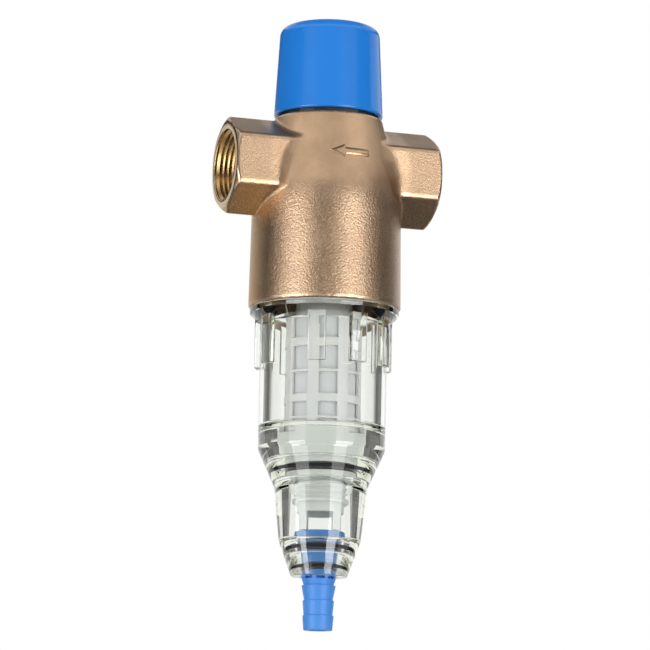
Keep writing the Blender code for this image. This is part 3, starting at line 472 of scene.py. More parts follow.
def held(points):
    """The same points, with one more near each end of a long straight run, which keeps its shading flat."""
    more = [points[0]]
    for here, there in zip(points, points[1:]):
        run = there - here
        if run.length > LONG_RUN:
            hold = run.normalized() * HOLD
            more += [here + hold, there - hold]
        more.append(there)
    return more


def modify(obj, kind, **settings):
    """Adds a modifier with these settings."""
    modifier = obj.modifiers.new(kind, kind)
    for name, value in settings.items():
        setattr(modifier, name, value)
    return modifier


def settle(obj):
    """Turns an object's modifiers into a plain mesh, smooth but for its sharp edges."""
    bpy.context.view_layer.update()
    evaluated = obj.evaluated_get(bpy.context.evaluated_depsgraph_get())
    mesh = bpy.data.meshes.new_from_object(evaluated)
    obj.modifiers.clear()
    obj.data = mesh
    mesh.shade_smooth()
    mesh.set_sharp_from_angle(angle=SHARP_EDGE)
    return obj


def shown(name, mesh):
    obj = bpy.data.objects.new(name, mesh)
    scene.collection.objects.link(obj)
    return obj


def meshed(name, points, edges=(), faces=()):
    mesh = bpy.data.meshes.new(name)
    mesh.from_pydata(points, edges, faces)
    return shown(name, mesh)


def turned(name, corners, facets=TURNED_FACETS):
    """A turned piece from an outline in millimetres that runs down its outside and up its inside."""
    points = [(p.x * MM, 0, p.y * MM) for p in held(arcs(corners))]
    edges = [(i, i + 1) for i in range(len(points) - 1)]
    if corners[0][0] > 0:
        edges.append((len(points) - 1, 0))
    obj = meshed(name, points, edges)
    merge = {"use_merge_vertices": True, "merge_threshold": POLE_MERGE}
    modify(obj, "SCREW", steps=facets, render_steps=facets, **merge)
    return settle(obj)


def tube(name, outer, inner, top, bottom, rounding=0):
    corners = [(outer, top, rounding), (outer, bottom, rounding), (inner, bottom, 0), (inner, top, 0)]
    return turned(name, corners)


print("points of a rounded corner:", len(arcs([(1, 1, 0), (1, 0, 0.2), (0, 0, 0)])) - 2)


# %% Places, cuts and finishing touches
def levels(node):
    """The top and the bottom of a CAD node in millimetres."""
    low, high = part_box(node)
    return high.z / MM, low.z / MM


def polar(radius, turn, level):
    """A place at a distance from the main axis and at an angle from the front."""
    return Vector((radius * math.sin(turn), -radius * math.cos(turn), level))


def cut(obj, helper, operation="DIFFERENCE"):
    """Cuts or joins a helper, which is then removed."""
    modify(obj, "BOOLEAN", operation=operation, object=helper, solver="EXACT")
    settle(obj)
    bpy.data.objects.remove(helper)
    return obj


def box(name, size, turn, middle):
    """A helper box of a size in millimetres, turned about the main axis."""
    mesh = bpy.data.meshes.new(name)
    shape = bmesh.new()
    place = Matrix.Rotation(turn, 4, "Z") @ Matrix.Translation(Vector(middle) * MM)
    bmesh.ops.create_cube(shape, size=1, matrix=place @ Matrix.Diagonal((*[s * MM for s in size], 1)))
    shape.to_mesh(mesh)
    shape.free()
    return shown(name, mesh)


def dress(obj, finish, body, *nodes):
    """Gives a piece its finish, its body, unless it bends between two, and the CAD nodes it stands for."""
    obj.data.materials.clear()
    obj.data.materials.append(finishes[finish])
    if body:
        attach(obj, body)
    if nodes:
        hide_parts(*nodes)
    print(f"{obj.name}: {len(obj.data.polygons)} faces on {body}")
    return obj


print("levels of the bowl, mm:", [round(level, 1) for level in levels("bowl")])

# %% [markdown]
# ## The casting
# The real housing is one casting, so its ports flow into the barrel with a fillet and its edges are soft. A
# Boolean gives hard creases, and a bevel fails on such an intersection. Instead the CAD solid is remeshed
# evenly, and each point is then moved onto a formula: the barrel and the hexagon bar as distances, joined by
# a smooth minimum that makes the fillet.

# %% Distances that describe the casting
PORT_FACE, BASE_RADIUS, NECK_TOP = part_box("housing")[1] / MM
HOUSING_BOTTOM = levels("housing")[1]
NECK_RADIUS = 20.1
SHOULDER = (27.6, -8.5)
PORT_FLAT = 16.0
PORT_CHAMFER = (1.4, 2.475)
FILLET_LEVELS = (-14.0, -3.0, 3.0, 13.0)
FILLET_SIZES = (0.8, 3.3, 3.5, 1.2)
BORES = (
    (17.0, 9.7, 30.0),
    (14.6, -8.5, 9.9),
    (12.0, -13.5, -8.0),
    (23.5, -38.2, -13.5),
    (24.4, -60.0, -38.0),
)
THREAD_RADIUS = 13.22
THREAD_END = 24.0
PASSAGE_RADIUS = 8.0
PASSAGE_OVERLAP = 1
INLET_END = 17.5
OUTLET_END = -8
DROP_X = 20.2
DROP_HALVES = (2.2, 7)
DROP_FLOOR = -15
SOFT_SHOULDER = 1.7
SOFT_NECK = 0.7
SOFT_BASE = 0.9
SOFT_HEXAGON = 1.0
SOFT_FACE = 0.5
SOFT_BORE = 0.4


def soft_max(a, b, width):
    share = np.clip(0.5 + 0.5 * (a - b) / width, 0, 1)
    return b + (a - b) * share + width * share * (1 - share)


def side_of(r, z, top, bottom):
    """Distance outside the cone between two (radius, level) points, the first one higher."""
    run = np.array((top[1] - bottom[1], bottom[0] - top[0]))
    run = run / np.hypot(*run)
    return (r - top[0]) * run[0] + (z - top[1]) * run[1]


def barrel_and_bar(p):
    """Distances from the barrel and from the hexagon bar of the ports, and the fillet between them."""
    x, y, z = p.T
    r = np.hypot(x, y)
    across = np.hypot(y, z)
    length = np.abs(x)
    cone = side_of(r, z, (NECK_RADIUS, NECK_TOP), SHOULDER)
    wall = side_of(r, z, SHOULDER, (BASE_RADIUS, HOUSING_BOTTOM))
    barrel = soft_max(cone, wall, SOFT_SHOULDER)
    barrel = soft_max(barrel, z - NECK_TOP, SOFT_NECK)
    barrel = soft_max(barrel, HOUSING_BOTTOM - z, SOFT_BASE)
    bar = np.abs(y) - PORT_FLAT
    for side in (1, -1):
        flat = np.abs(side * 0.5 * y + math.sqrt(0.75) * z) - PORT_FLAT
        bar = soft_max(bar, flat, SOFT_HEXAGON)
    back, rise = np.array(PORT_CHAMFER) / np.hypot(*PORT_CHAMFER)
    chamfer = (across - PORT_FLAT) * back + (length - PORT_FACE) * rise
    bar = soft_max(bar, chamfer, SOFT_FACE)
    bar = soft_max(bar, length - PORT_FACE, SOFT_FACE)
    return barrel, bar, np.interp(z, FILLET_LEVELS, FILLET_SIZES)


def casting(p):
    """Distance from the casting's surface in millimetres, negative inside the metal."""
    x, y, z = p.T
    r = np.hypot(x, y)
    across = np.hypot(y, z)
    length = np.abs(x)
    barrel, bar, fillet = barrel_and_bar(p)
    outside = -soft_max(-barrel, -bar, fillet)
    hollow = np.maximum(across - THREAD_RADIUS, THREAD_END - length)
    far_end = THREAD_END + PASSAGE_OVERLAP
    passage = across - PASSAGE_RADIUS
    half_x, half_y = DROP_HALVES
    spaces = [
        (passage, x - OUTLET_END, -far_end - x),
        (passage, INLET_END - x, x - far_end),
        (np.abs(x - DROP_X) - half_x, np.abs(y) - half_y, z, DROP_FLOOR - z),
        *[(r - radius, low - z, z - high) for radius, low, high in BORES],
    ]
    for sides in spaces:
        hollow = np.minimum(hollow, np.maximum.reduce(sides))
    return soft_max(outside, -hollow, SOFT_BORE)


print("distance at the origin:", casting(np.zeros((1, 3))).round(2))

# %% Move an even mesh onto the casting
CASTING_GRID = 0.00062
SEAM_MERGE = 0.000002
SETTLING_STEPS = 6
LONGEST_STEP = 0.8
LEAST_SLOPE = 0.2
PROBE = 0.02
EDGE_REACH = 0.3
EDGE_START = 0.25
EDGE_RANGE = 0.9
BASE_WEAR = ((0, 3), (0.15, 1))
# Painted shade along the fillets: strongest low on the casting, faint higher up, and narrow across.
CREASE_SHADE_LEVELS = ((-6, 2), (1, 0.2))
CREASE_SHADE_WIDTH = 0.6


def slope_of(p):
    steps = np.eye(3) * PROBE
    return np.stack([(casting(p + s) - casting(p - s)) / (2 * PROBE) for s in steps], axis=1)


cast_body = shown("housing_casting", frame["nodes"]["housing"].data.copy())
modify(cast_body, "WELD", merge_threshold=SEAM_MERGE)
modify(cast_body, "REMESH", mode="VOXEL", voxel_size=CASTING_GRID)
settle(cast_body)
points = np.empty(len(cast_body.data.vertices) * 3)
cast_body.data.vertices.foreach_get("co", points)
points = points.reshape(-1, 3) / MM
for _ in range(SETTLING_STEPS):
    slope = slope_of(points)
    steep = np.maximum((slope * slope).sum(1), LEAST_SLOPE)
    move = np.clip(casting(points) / steep, -LONGEST_STEP, LONGEST_STEP)
    points -= move[:, None] * slope
print("casting: farthest point from its formula, mm:", np.abs(casting(points)).max().round(3))
cast_body.data.vertices.foreach_set("co", (points * MM).ravel())
cast_body.data.update()
cast_body.data.shade_smooth()


def bend_of(p, reach):
    """How sharply the surface bends, positive at outer edges."""
    steps = np.eye(3) * reach
    around = sum(casting(p + s) + casting(p - s) for s in steps)
    return (around - 6 * casting(p)) / reach**2


barrel, bar, fillet = barrel_and_bar(points)
edge = (bend_of(points, EDGE_REACH) - EDGE_START) / EDGE_RANGE
edge *= np.interp(points[:, 2] - HOUSING_BOTTOM, *BASE_WEAR)
crease = np.interp(points[:, 2], *CREASE_SHADE_LEVELS) - np.abs(barrel - bar) / (CREASE_SHADE_WIDTH * fillet)
for name, share in (("edge", edge), ("crease", crease)):
    layer = cast_body.data.attributes.new(name, "FLOAT", "POINT")
    layer.data.foreach_set("value", np.clip(share, 0, 1).astype(np.float32))
dress(cast_body, "cast_bronze", "housing", "housing")

# %% [markdown]
# ## Threads, seals and the spring
# Threads and springs follow a helix and O-rings a circle: a profile swept along a path. That is a job for
# Geometry Nodes, with one tree for each rule and the sizes as named inputs, so that one tree makes every
# thread and the spring, and the other one every seal.

# %% A tree for helices and a tree for rings
LENGTH = "NodeSocketFloat"
COUNT = "NodeSocketInt"
FLAT = (1, 1, 0)
HELIX_STEPS = 48
SECTION_STEPS = 20


class Maker(Graph):
    """A Geometry Nodes tree with named inputs, which ends in real geometry with a material."""

    def __init__(self, name, inputs):
        super().__init__(bpy.data.node_groups.new(name, "GeometryNodeTree"))
        sockets = self.tree.interface
        sockets.new_socket("Geometry", in_out="OUTPUT", socket_type="NodeSocketGeometry")
        self.keys = {}
        for label, kind in {**inputs, "Finish": "NodeSocketMaterial"}.items():
            self.keys[label] = sockets.new_socket(label, in_out="INPUT", socket_type=kind).identifier
        self.entry = self.tree.nodes.new("NodeGroupInput")

    def given(self, label):
        return Wire(self, self.entry.outputs[label])

    def end(self, geometry):
        real = self.node("GeometryNodeRealizeInstances", {"Geometry": geometry})
        inputs = {"Geometry": real, "Material": self.given("Finish")}
        done = self.node("GeometryNodeSetMaterial", inputs)
        self.join(done, self.tree.nodes.new("NodeGroupOutput").inputs[0])

    def make(self, name, finish, spots=(), **values):
        """A plain mesh object from the tree with these inputs, and the points that it starts from."""
        obj = meshed(name, spots)
        modifier = modify(obj, "NODES", node_group=self.tree)
        modifier[self.keys["Finish"]] = finishes[finish]
        for label, value in values.items():
            modifier[self.keys[label.capitalize()]] = value
        return settle(obj)


def circle(tree, resolution, radius):
    inputs = {"Resolution": resolution, "Radius": radius}
    return tree.node("GeometryNodeCurvePrimitiveCircle", inputs)


def helix_tree():
    lengths = dict.fromkeys(("Radius", "Pitch", "Turns", "Ridge"), LENGTH)
    tree = Maker("helix", {**lengths, "Sides": COUNT})
    radius = tree.given("Radius")
    inputs = {
        "Resolution": HELIX_STEPS,
        "Rotations": tree.given("Turns"),
        "Start Radius": radius,
        "End Radius": radius,
        "Height": tree.given("Pitch") * tree.given("Turns"),
        "Reverse": True,
    }
    path = tree.node("GeometryNodeCurveSpiral", inputs)
    upright = tree.node("GeometryNodeSetCurveNormal", {"Curve": path}, mode="Z_UP")
    ridge = circle(tree, tree.given("Sides"), tree.given("Ridge"))
    inputs = {"Curve": upright, "Profile Curve": ridge, "Fill Caps": True}
    tree.end(tree.node("GeometryNodeCurveToMesh", inputs))
    return tree


def ring_tree():
    tree = Maker("ring", dict.fromkeys(("Radius", "Section", "Level", "Bore"), LENGTH))
    path = circle(tree, TURNED_FACETS, tree.given("Radius"))
    section = circle(tree, SECTION_STEPS, tree.given("Section"))
    seal = tree.node("GeometryNodeCurveToMesh", {"Curve": path, "Profile Curve": section})
    spot = tree.node("GeometryNodeInputPosition")
    reach = tree.vectors("LENGTH", tree.vectors("MULTIPLY", spot, FLAT), output="Value")
    shrink = tree.maths("MINIMUM", tree.given("Bore") / reach, 1.0)
    squeeze = tree.node("ShaderNodeCombineXYZ", {"X": shrink, "Y": shrink, "Z": 1.0})
    pressed = tree.vectors("MULTIPLY", spot, squeeze)
    seal = tree.node("GeometryNodeSetPosition", {"Geometry": seal, "Position": pressed})
    place = tree.node("ShaderNodeCombineXYZ", {"Z": tree.given("Level")})
    tree.end(tree.node("GeometryNodeTransform", {"Geometry": seal, "Translation": place}))
    return tree


helix = helix_tree()
ring = ring_tree()
print("trees:", helix.tree.name, ring.tree.name)

# %% O-rings pressed flat by their bores
SQUEEZE = 0.25
CONTACT = 0.02
SEALS = {
    "insert_o_ring": ("housing", 1.1, 11.7),
    "filter_top_o_ring": ("housing", 0.9, 11.7),
    "bowl_o_ring": ("bowl_seal", 1.1, 23.2),
    "foot_o_ring": ("bowl", 1.3, 14.5),
    "drain_o_ring_upper": ("drain_seals", 1.2, 8.6),
    "drain_o_ring_lower": ("drain_seals", 1.1, 7.1),
}
for node, (body, section, bore) in SEALS.items():
    low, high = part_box(node)
    sizes = {"section": section * MM, "level": (low.z + high.z) / 2, "bore": (bore + CONTACT) * MM}
    seal = ring.make(node + "_round", "seal_black", radius=(bore + SQUEEZE - section) * MM, **sizes)
    dress(seal, "seal_black", body, node)

# %% Port threads
THREAD_PITCH = 1.814
THREAD_TURNS = 7.7
THREAD_LIFT = 0.05
THREAD_RIDGE = 0.89
for name, side in (("inlet_thread", 1), ("outlet_thread", -1)):
    radius = (THREAD_RADIUS + THREAD_LIFT) * MM
    sizes = {"turns": THREAD_TURNS, "ridge": THREAD_RIDGE * MM, "sides": 4}
    thread = helix.make(name, "turned_brass", radius=radius, pitch=THREAD_PITCH * MM, **sizes)
    start = Matrix.Translation((0, 0, (THREAD_END + PASSAGE_OVERLAP) * MM))
    thread.data.transform(Matrix.Rotation(side * math.pi / 2, 4, "Y") @ start)
    dress(thread, "turned_brass", "housing")

# %% Adjusting spring
WIRE = 1.25
WIRE_SIDES = 14
COIL_RADIUS = 9.3
SPRING_TURNS = 5
PLATE_TRAVEL = 0.005
VALVE_TRAVEL = 0.002
low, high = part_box("adjusting_spring")
spring_height = high.z - low.z
spring_low = low.z + WIRE * MM
spring_pitch = (spring_height - 2 * WIRE * MM) / SPRING_TURNS
lower_share = VALVE_TRAVEL / (PLATE_TRAVEL + VALVE_TRAVEL)
still_level = low.z + spring_height * lower_share
lower_turns = (still_level - spring_low) / spring_pitch
lengths = (
    ("adjusting_spring_lower", "valve_lift", 0, lower_turns),
    ("adjusting_spring_upper", "plate_slide", lower_turns, SPRING_TURNS - lower_turns),
)
for name, joint, start, turns in lengths:
    sizes = {"turns": turns, "ridge": WIRE * MM, "sides": WIRE_SIDES}
    wire = helix.make(name, "spring_steel", radius=COIL_RADIUS * MM, pitch=spring_pitch, **sizes)
    lift = Matrix.Translation((0, 0, spring_low + start * spring_pitch))
    wire.data.transform(lift @ Matrix.Rotation(2 * math.pi * start, 4, "Z"))
    dress(wire, "spring_steel", "housing", "adjusting_spring")
    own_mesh(wire)

# %% [markdown]
# ## Flow arrow
# A raised arrow on the front of the neck points from inlet to outlet. It could be a bump in the material,
# but it catches light along its edges, so it is real relief: a fine grid, lifted by how far each point lies
# inside the arrow's outline, and wrapped round the cone. The head has a narrow edge and the shaft is a round
# bar.

# %% Flow arrow
ARROW_LEVEL = 3.9
ARROW_SHIFT = 0.7
ARROW_TIP = -7.9
ARROW_NECK = -1.9
ARROW_END = 7.7
ARROW_OVERLAP = 0.4
ARROW_HEAD_HALF = 2.6
ARROW_SHAFT_HALF = 1.4
ARROW_HEIGHT = 0.6
ARROW_ROOT = 0.3
ARROW_MARGIN = 0.2
HEAD_EDGE = 1.0
SHAFT_EDGE = 1.4
ARROW_STEP = 0.12


def raised(inset, edge):
    """Height over the metal for a distance inside an outline, with a round edge and a sunk skirt."""
    crown = np.sqrt(1 - (1 - np.clip(inset / edge, 0, 1)) ** 2)
    return ARROW_HEIGHT * crown - ARROW_ROOT * np.clip(-inset / ARROW_MARGIN, 0, 1)


def arrow_height(along, above):
    off = np.abs(above)
    rise = ARROW_HEAD_HALF / (ARROW_NECK - ARROW_TIP)
    flank = (rise * (along - ARROW_TIP) - off) / math.hypot(1, rise)
    head = np.minimum(flank, ARROW_NECK - along)
    ends = np.minimum(ARROW_END - along, along - ARROW_NECK + ARROW_OVERLAP)
    shaft = np.minimum(ARROW_SHAFT_HALF - off, ends)
    return np.maximum(raised(head, HEAD_EDGE), raised(shaft, SHAFT_EDGE))


along = np.arange(ARROW_TIP - ARROW_MARGIN, ARROW_END + 2 * ARROW_MARGIN, ARROW_STEP)
above = np.arange(-ARROW_HEAD_HALF - ARROW_MARGIN, ARROW_HEAD_HALF + 2 * ARROW_MARGIN, ARROW_STEP)
along, above = np.meshgrid(along, above, indexing="ij")
height = arrow_height(along, above)
level = ARROW_LEVEL + above
cone_share = (NECK_TOP - level) / (NECK_TOP - SHOULDER[1])
cone_radius = NECK_RADIUS + cone_share * (SHOULDER[0] - NECK_RADIUS)
turn = (ARROW_SHIFT + along) / cone_radius
reach = cone_radius + height
places = np.stack((reach * np.sin(turn), -reach * np.cos(turn), level), axis=2).reshape(-1, 3) * MM
names = np.arange(height.size).reshape(height.shape)
corners = (names[:-1, :-1], names[1:, :-1], names[1:, 1:], names[:-1, 1:])
quads = np.stack(corners, axis=2).reshape(-1, 4)
quads = quads[height.ravel()[quads].max(axis=1) > -ARROW_ROOT]
used, quads = np.unique(quads, return_inverse=True)
arrow = meshed("flow_arrow", places[used].tolist(), faces=quads.reshape(-1, 4).tolist())
arrow.data.shade_smooth()
dress(arrow, "cast_bronze", "housing")

# %% [markdown]
# ## Cap
# The blue cap is a plain tapered shell with a well-rounded top edge. Turning its outline is enough, with the
# rim left hollow so that the dark gap over the neck is a real one.

# %% Cap
CAP_TOP, CAP_RIM = levels("adjusting_cap")
CAP_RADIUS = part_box("adjusting_cap")[1].x / MM
CAP_DRAFT = 1.8
CAP_WALL = 1.8
CAP_CEILING = CAP_TOP - 2.4
SOCKET_RADIUS = 6.54
SOCKET_BORE = 4.45
SOCKET_END = CAP_CEILING - 5.0
SOCKET_TOP = CAP_CEILING - 0.2
cap_corners = [
    (0, CAP_TOP, 0),
    (CAP_RADIUS - CAP_DRAFT, CAP_TOP, 3.5),
    (CAP_RADIUS, CAP_RIM, 0.6),
    (CAP_RADIUS - CAP_WALL, CAP_RIM, 0.4),
    (CAP_RADIUS - CAP_DRAFT - CAP_WALL, CAP_CEILING, 1.0),
    (SOCKET_RADIUS, CAP_CEILING, 0.5),
    (SOCKET_RADIUS, SOCKET_END, 0.3),
    (SOCKET_BORE, SOCKET_END, 0),
    (SOCKET_BORE, SOCKET_TOP, 0),
    (0, SOCKET_TOP, 0),
]
cap = turned("cap_shell", cap_corners, FINE_FACETS)
dress(cap, "cap_blue", "cap", "adjusting_cap")

# %% [markdown]
# ## Bowl
# The bowl is one thick moulding. It bends what is behind it, so both its faces matter: the straight wall, the
# ledge that the filter foot sits on, the drain chamber and the bores of the plug. The wrench lugs repeat
# round it, so a Geometry Nodes tree sets one rounded block at each place, and a Boolean then joins them to
# the wall, because an inner face left between them would show as a ghost in clear plastic. A ray crosses
# many faces in here, so the limits on light bounces are raised, or the thick parts would turn black.

# %% Bowl wall
BOWL_TOP, BOWL_TIP = levels("bowl")
FLANGE_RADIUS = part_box("bowl")[1].y / MM
FLANGE_TOP = HOUSING_BOTTOM - 0.3
bowl_outside = [
    (22.9, BOWL_TOP, 0),
    (22.9, -34.1, 0),
    (20.7, -34.1, 0.2),
    (20.7, -36.9, 0.2),
    (22.9, -36.9, 0),
    (22.9, -38.0, 0),
    (24.1, -38.0, 0.3),
    (24.1, FLANGE_TOP, 0.2),
    (FLANGE_RADIUS, FLANGE_TOP, 0.4),
    (FLANGE_RADIUS, FLANGE_TOP - 2.0, 0.5),
    (23.6, FLANGE_TOP - 6.0, 1.0),
    (23.35, -104.0, 4.0),
    (17.0, -118.0, 1.6),
    (15.0, -137.5, 1.2),
    (10.3, BOWL_TIP, 0.5),
]
bowl_inside = [
    (7.1, BOWL_TIP, 0.3),
    (7.1, -141.2, 0.2),
    (8.6, -141.2, 0.2),
    (8.6, -137.0, 0.3),
    (12.0, -137.0, 0.8),
    (12.0, -114.1, 0.2),
    (14.5, -114.1, 0.3),
    (14.5, -106.3, 0.3),
    (16.5, -106.3, 0.4),
    (16.5, -97.0, 0.6),
    (19.7, -95.4, 1.0),
    (19.7, BOWL_TOP, 0),
]
bowl = turned("bowl_moulding", bowl_outside + bowl_inside, FINE_FACETS)
print("bowl wall:", len(bowl.data.polygons), "faces")

# %% Wrench lugs
LUG_TURNS = (-75.7, -24.7, 12.4, 47.4, 86.4, 126.4, 166.4, 206.4, 245.3)
LUG_SIZE = (6.6, 3.1, 20.6)
LUG_RADIUS = 23.82
LUG_MIDDLE = -63.4
LUG_ROUNDING = 0.45
LIGHT_BOUNCES = 24
GLOSSY_BOUNCES = 7


def lug_tree():
    """Sets a lug at each point of the object's own mesh, facing away from the main axis."""
    tree = Maker("lug_row", {"Spots": "NodeSocketGeometry", "Lug": "NodeSocketObject"})
    outward = tree.vectors("MULTIPLY", tree.node("GeometryNodeInputPosition"), FLAT)
    aim = tree.node("FunctionNodeAlignRotationToVector", {"Vector": outward}, axis="X")
    lug = tree.node("GeometryNodeObjectInfo", {"Object": tree.given("Lug")}, "Geometry")
    inputs = {"Points": tree.given("Spots"), "Instance": lug, "Rotation": aim}
    tree.end(tree.node("GeometryNodeInstanceOnPoints", inputs))
    return tree


width, depth, height = LUG_SIZE
block = box("lug_block", (depth, width, height), 0, (0, 0, 0))
modify(block, "BEVEL", width=LUG_ROUNDING * MM, segments=3)
settle(block)
spots = [polar(LUG_RADIUS, math.radians(turn), LUG_MIDDLE) * MM for turn in LUG_TURNS]
lugs = lug_tree().make("lugs", "clear_bowl", spots, lug=block)
bpy.data.objects.remove(block)
cut(bowl, lugs, "UNION")
bowl.visible_shadow = False
scene.cycles.max_bounces = LIGHT_BOUNCES
scene.cycles.transmission_bounces = LIGHT_BOUNCES
scene.cycles.glossy_bounces = GLOSSY_BOUNCES
dress(bowl, "clear_bowl", "bowl", "bowl")

# %% [markdown]
# ## Filter
# The cage is a thin moulded tube with rows of windows between ribs and rings. It follows a rule, so its
# middle surface is a grid with the window faces left out; Solidify gives the wall and Bevel the soft moulded
# edges. The screen is a separate sleeve that shows through the windows.

# %% Cage
CAGE_BAYS = 8
CAGE_TURN = math.radians(-33.2)
CAGE_RIB = 4.0
CAGE_WALL = 1.2
CAGE_WINDOWS = (3.3, 5.2, 8.0, 8.7, 7.8)
CAGE_RINGS = (1.0, 3.0)
CAGE_TOP_BAND = 7.0
CAGE_LOWEST_RING = 0.9
CAGE_SLANT = 3.0
CAGE_COLLAR = 12.6
CAGE_ROUNDING = 0.22
CAGE_ROUNDED_EDGE = math.radians(50)
RIB_STEPS = 2
WINDOW_STEPS = 5
CAGE_MIDDLE = 13.6
CAGE_TOP, CAGE_UNDER = levels("filter_cage")
CAGE_BASE = CAGE_UNDER + CAGE_WALL / 2


def cage_rows():
    """(radius, level, windows below) from the collar down."""
    level = CAGE_BASE + CAGE_LOWEST_RING
    rows = [(CAGE_MIDDLE, CAGE_BASE, False)]
    for k, height in enumerate(CAGE_WINDOWS):
        rows.append((CAGE_MIDDLE, level, False))
        rows.append((CAGE_MIDDLE, level + height, True))
        level += height + CAGE_RINGS[k % 2]
    shoulder = rows[-1][1] + CAGE_TOP_BAND
    rows.append((CAGE_MIDDLE, shoulder, False))
    rows.append((CAGE_COLLAR, shoulder + CAGE_SLANT, False))
    rows.append((CAGE_COLLAR, CAGE_TOP, False))
    return rows[::-1]


def cage_angles():
    """(angle, is rib) round the cage, a rib first in each bay."""
    bay = 2 * math.pi / CAGE_BAYS
    rib = CAGE_RIB / CAGE_MIDDLE
    angles = []
    for k in range(CAGE_BAYS):
        start = CAGE_TURN - rib / 2 + k * bay
        angles += [(start + rib * i / RIB_STEPS, True) for i in range(RIB_STEPS)]
        gap = bay - rib
        angles += [(start + rib + gap * i / WINDOW_STEPS, False) for i in range(WINDOW_STEPS)]
    return angles


rows = cage_rows()
angles = cage_angles()
count = len(angles)
places = [polar(radius, angle, level) * MM for radius, level, _ in rows for angle, _ in angles]
faces = []
for i, (_, _, windows) in enumerate(rows[:-1]):
    here, below = i * count, (i + 1) * count
    for j, (_, rib) in enumerate(angles):
        k = (j + 1) % count
        if rib or not windows:
            faces.append((here + j, below + j, below + k, here + k))
pole = len(places)
faces += [(below + j, pole, below + (j + 1) % count) for j in range(count)]
places.append((0, 0, rows[-1][1] * MM))
cage = meshed("filter_cage_moulding", places, faces=faces)
modify(cage, "SOLIDIFY", thickness=CAGE_WALL * MM, offset=0, use_even_offset=True)
sharp = {"limit_method": "ANGLE", "angle_limit": CAGE_ROUNDED_EDGE}
modify(cage, "BEVEL", width=CAGE_ROUNDING * MM, segments=2, **sharp)
settle(cage)
dress(cage, "filter_white", "bowl", "filter_cage")

# %% Screen
SCREEN_OUTER = 12.7
SCREEN_INNER = 12.3
screen = tube("filter_screen", SCREEN_OUTER, SCREEN_INNER, *levels("filter_mesh"))
dress(screen, "mesh_grey", "bowl", "filter_mesh")

# %% [markdown]
# ## Foot, drain sleeve and drain plug
# Under the cage sits a milky foot that seals in the bowl. The drain's threaded sleeve screws into it, with
# windows at its lower end, and carries the blue plug with the hose barb. All three are turned and then cut.

# %% Foot
FOOT_TOP, FOOT_BOTTOM = levels("filter_foot")
SLOT_SIZE = (70, 7, 6.5)
SLOT_LEVEL = -95.7
QUARTER = math.pi / 2


def cut_across(obj, size, level, turn):
    """Cuts a box through the whole piece, and once more at a right angle."""
    for quarter in (0, 1):
        cut(obj, box("opening", size, turn + quarter * QUARTER, (0, 0, level)))


foot_corners = [
    (16.2, FOOT_TOP, 0),
    (16.2, -106.0, 0.4),
    (13.9, -106.0, 0),
    (13.9, -108.45, 0),
    (11.3, -108.45, 0.2),
    (11.3, -111.65, 0.2),
    (13.9, -111.65, 0),
    (13.9, FOOT_BOTTOM, 0.4),
    (10.1, FOOT_BOTTOM, 0),
    (10.1, -103.6, 0),
    (6.9, -103.6, 0.4),
    (6.9, -98.8, 0.6),
    (14.8, -98.8, 0.4),
    (14.8, FOOT_TOP, 0),
]
foot = turned("filter_foot_moulding", foot_corners)
cut_across(foot, SLOT_SIZE, SLOT_LEVEL, CAMERA_TURN + QUARTER / 2)
dress(foot, "sleeve_white", "bowl", "filter_foot")

# %% Drain sleeve
SLEEVE_TOP, SLEEVE_BOTTOM = levels("drain_sleeve")
SLEEVE_PITCH = 1.75
SLEEVE_COLLAR = -122.0
COLLAR_UNDER = SLEEVE_COLLAR - 1.2
RIDGE_RADIUS = 9.12
RIDGE_SIZE = 0.66
RIDGE_GAP = 0.8
WINDOW_SIZE = (9, 40, 10)
WINDOW_LEVEL = -131.6
sleeve_corners = [
    (9.15, SLEEVE_TOP, 0),
    (9.15, SLEEVE_COLLAR, 0),
    (10.5, SLEEVE_COLLAR, 0.3),
    (10.5, COLLAR_UNDER, 0.3),
    (8.7, COLLAR_UNDER, 0.3),
    (8.7, SLEEVE_BOTTOM, 0.2),
    (6.9, SLEEVE_BOTTOM, 0.2),
    (6.9, SLEEVE_TOP, 0),
]
sleeve = turned("drain_sleeve_moulding", sleeve_corners)
cut_across(sleeve, WINDOW_SIZE, WINDOW_LEVEL, CAMERA_TURN)
dress(sleeve, "sleeve_white", "drain", "drain_sleeve")
sleeve_turns = (SLEEVE_TOP - SLEEVE_COLLAR - 2 * RIDGE_GAP) / SLEEVE_PITCH
sizes = {"radius": RIDGE_RADIUS * MM, "ridge": RIDGE_SIZE * MM, "sides": 4}
ridge = helix.make(
    "drain_sleeve_thread", "sleeve_white", pitch=SLEEVE_PITCH * MM, turns=sleeve_turns, **sizes
)
ridge.data.transform(Matrix.Translation((0, 0, (SLEEVE_COLLAR + RIDGE_GAP) * MM)))
dress(ridge, "sleeve_white", "drain")

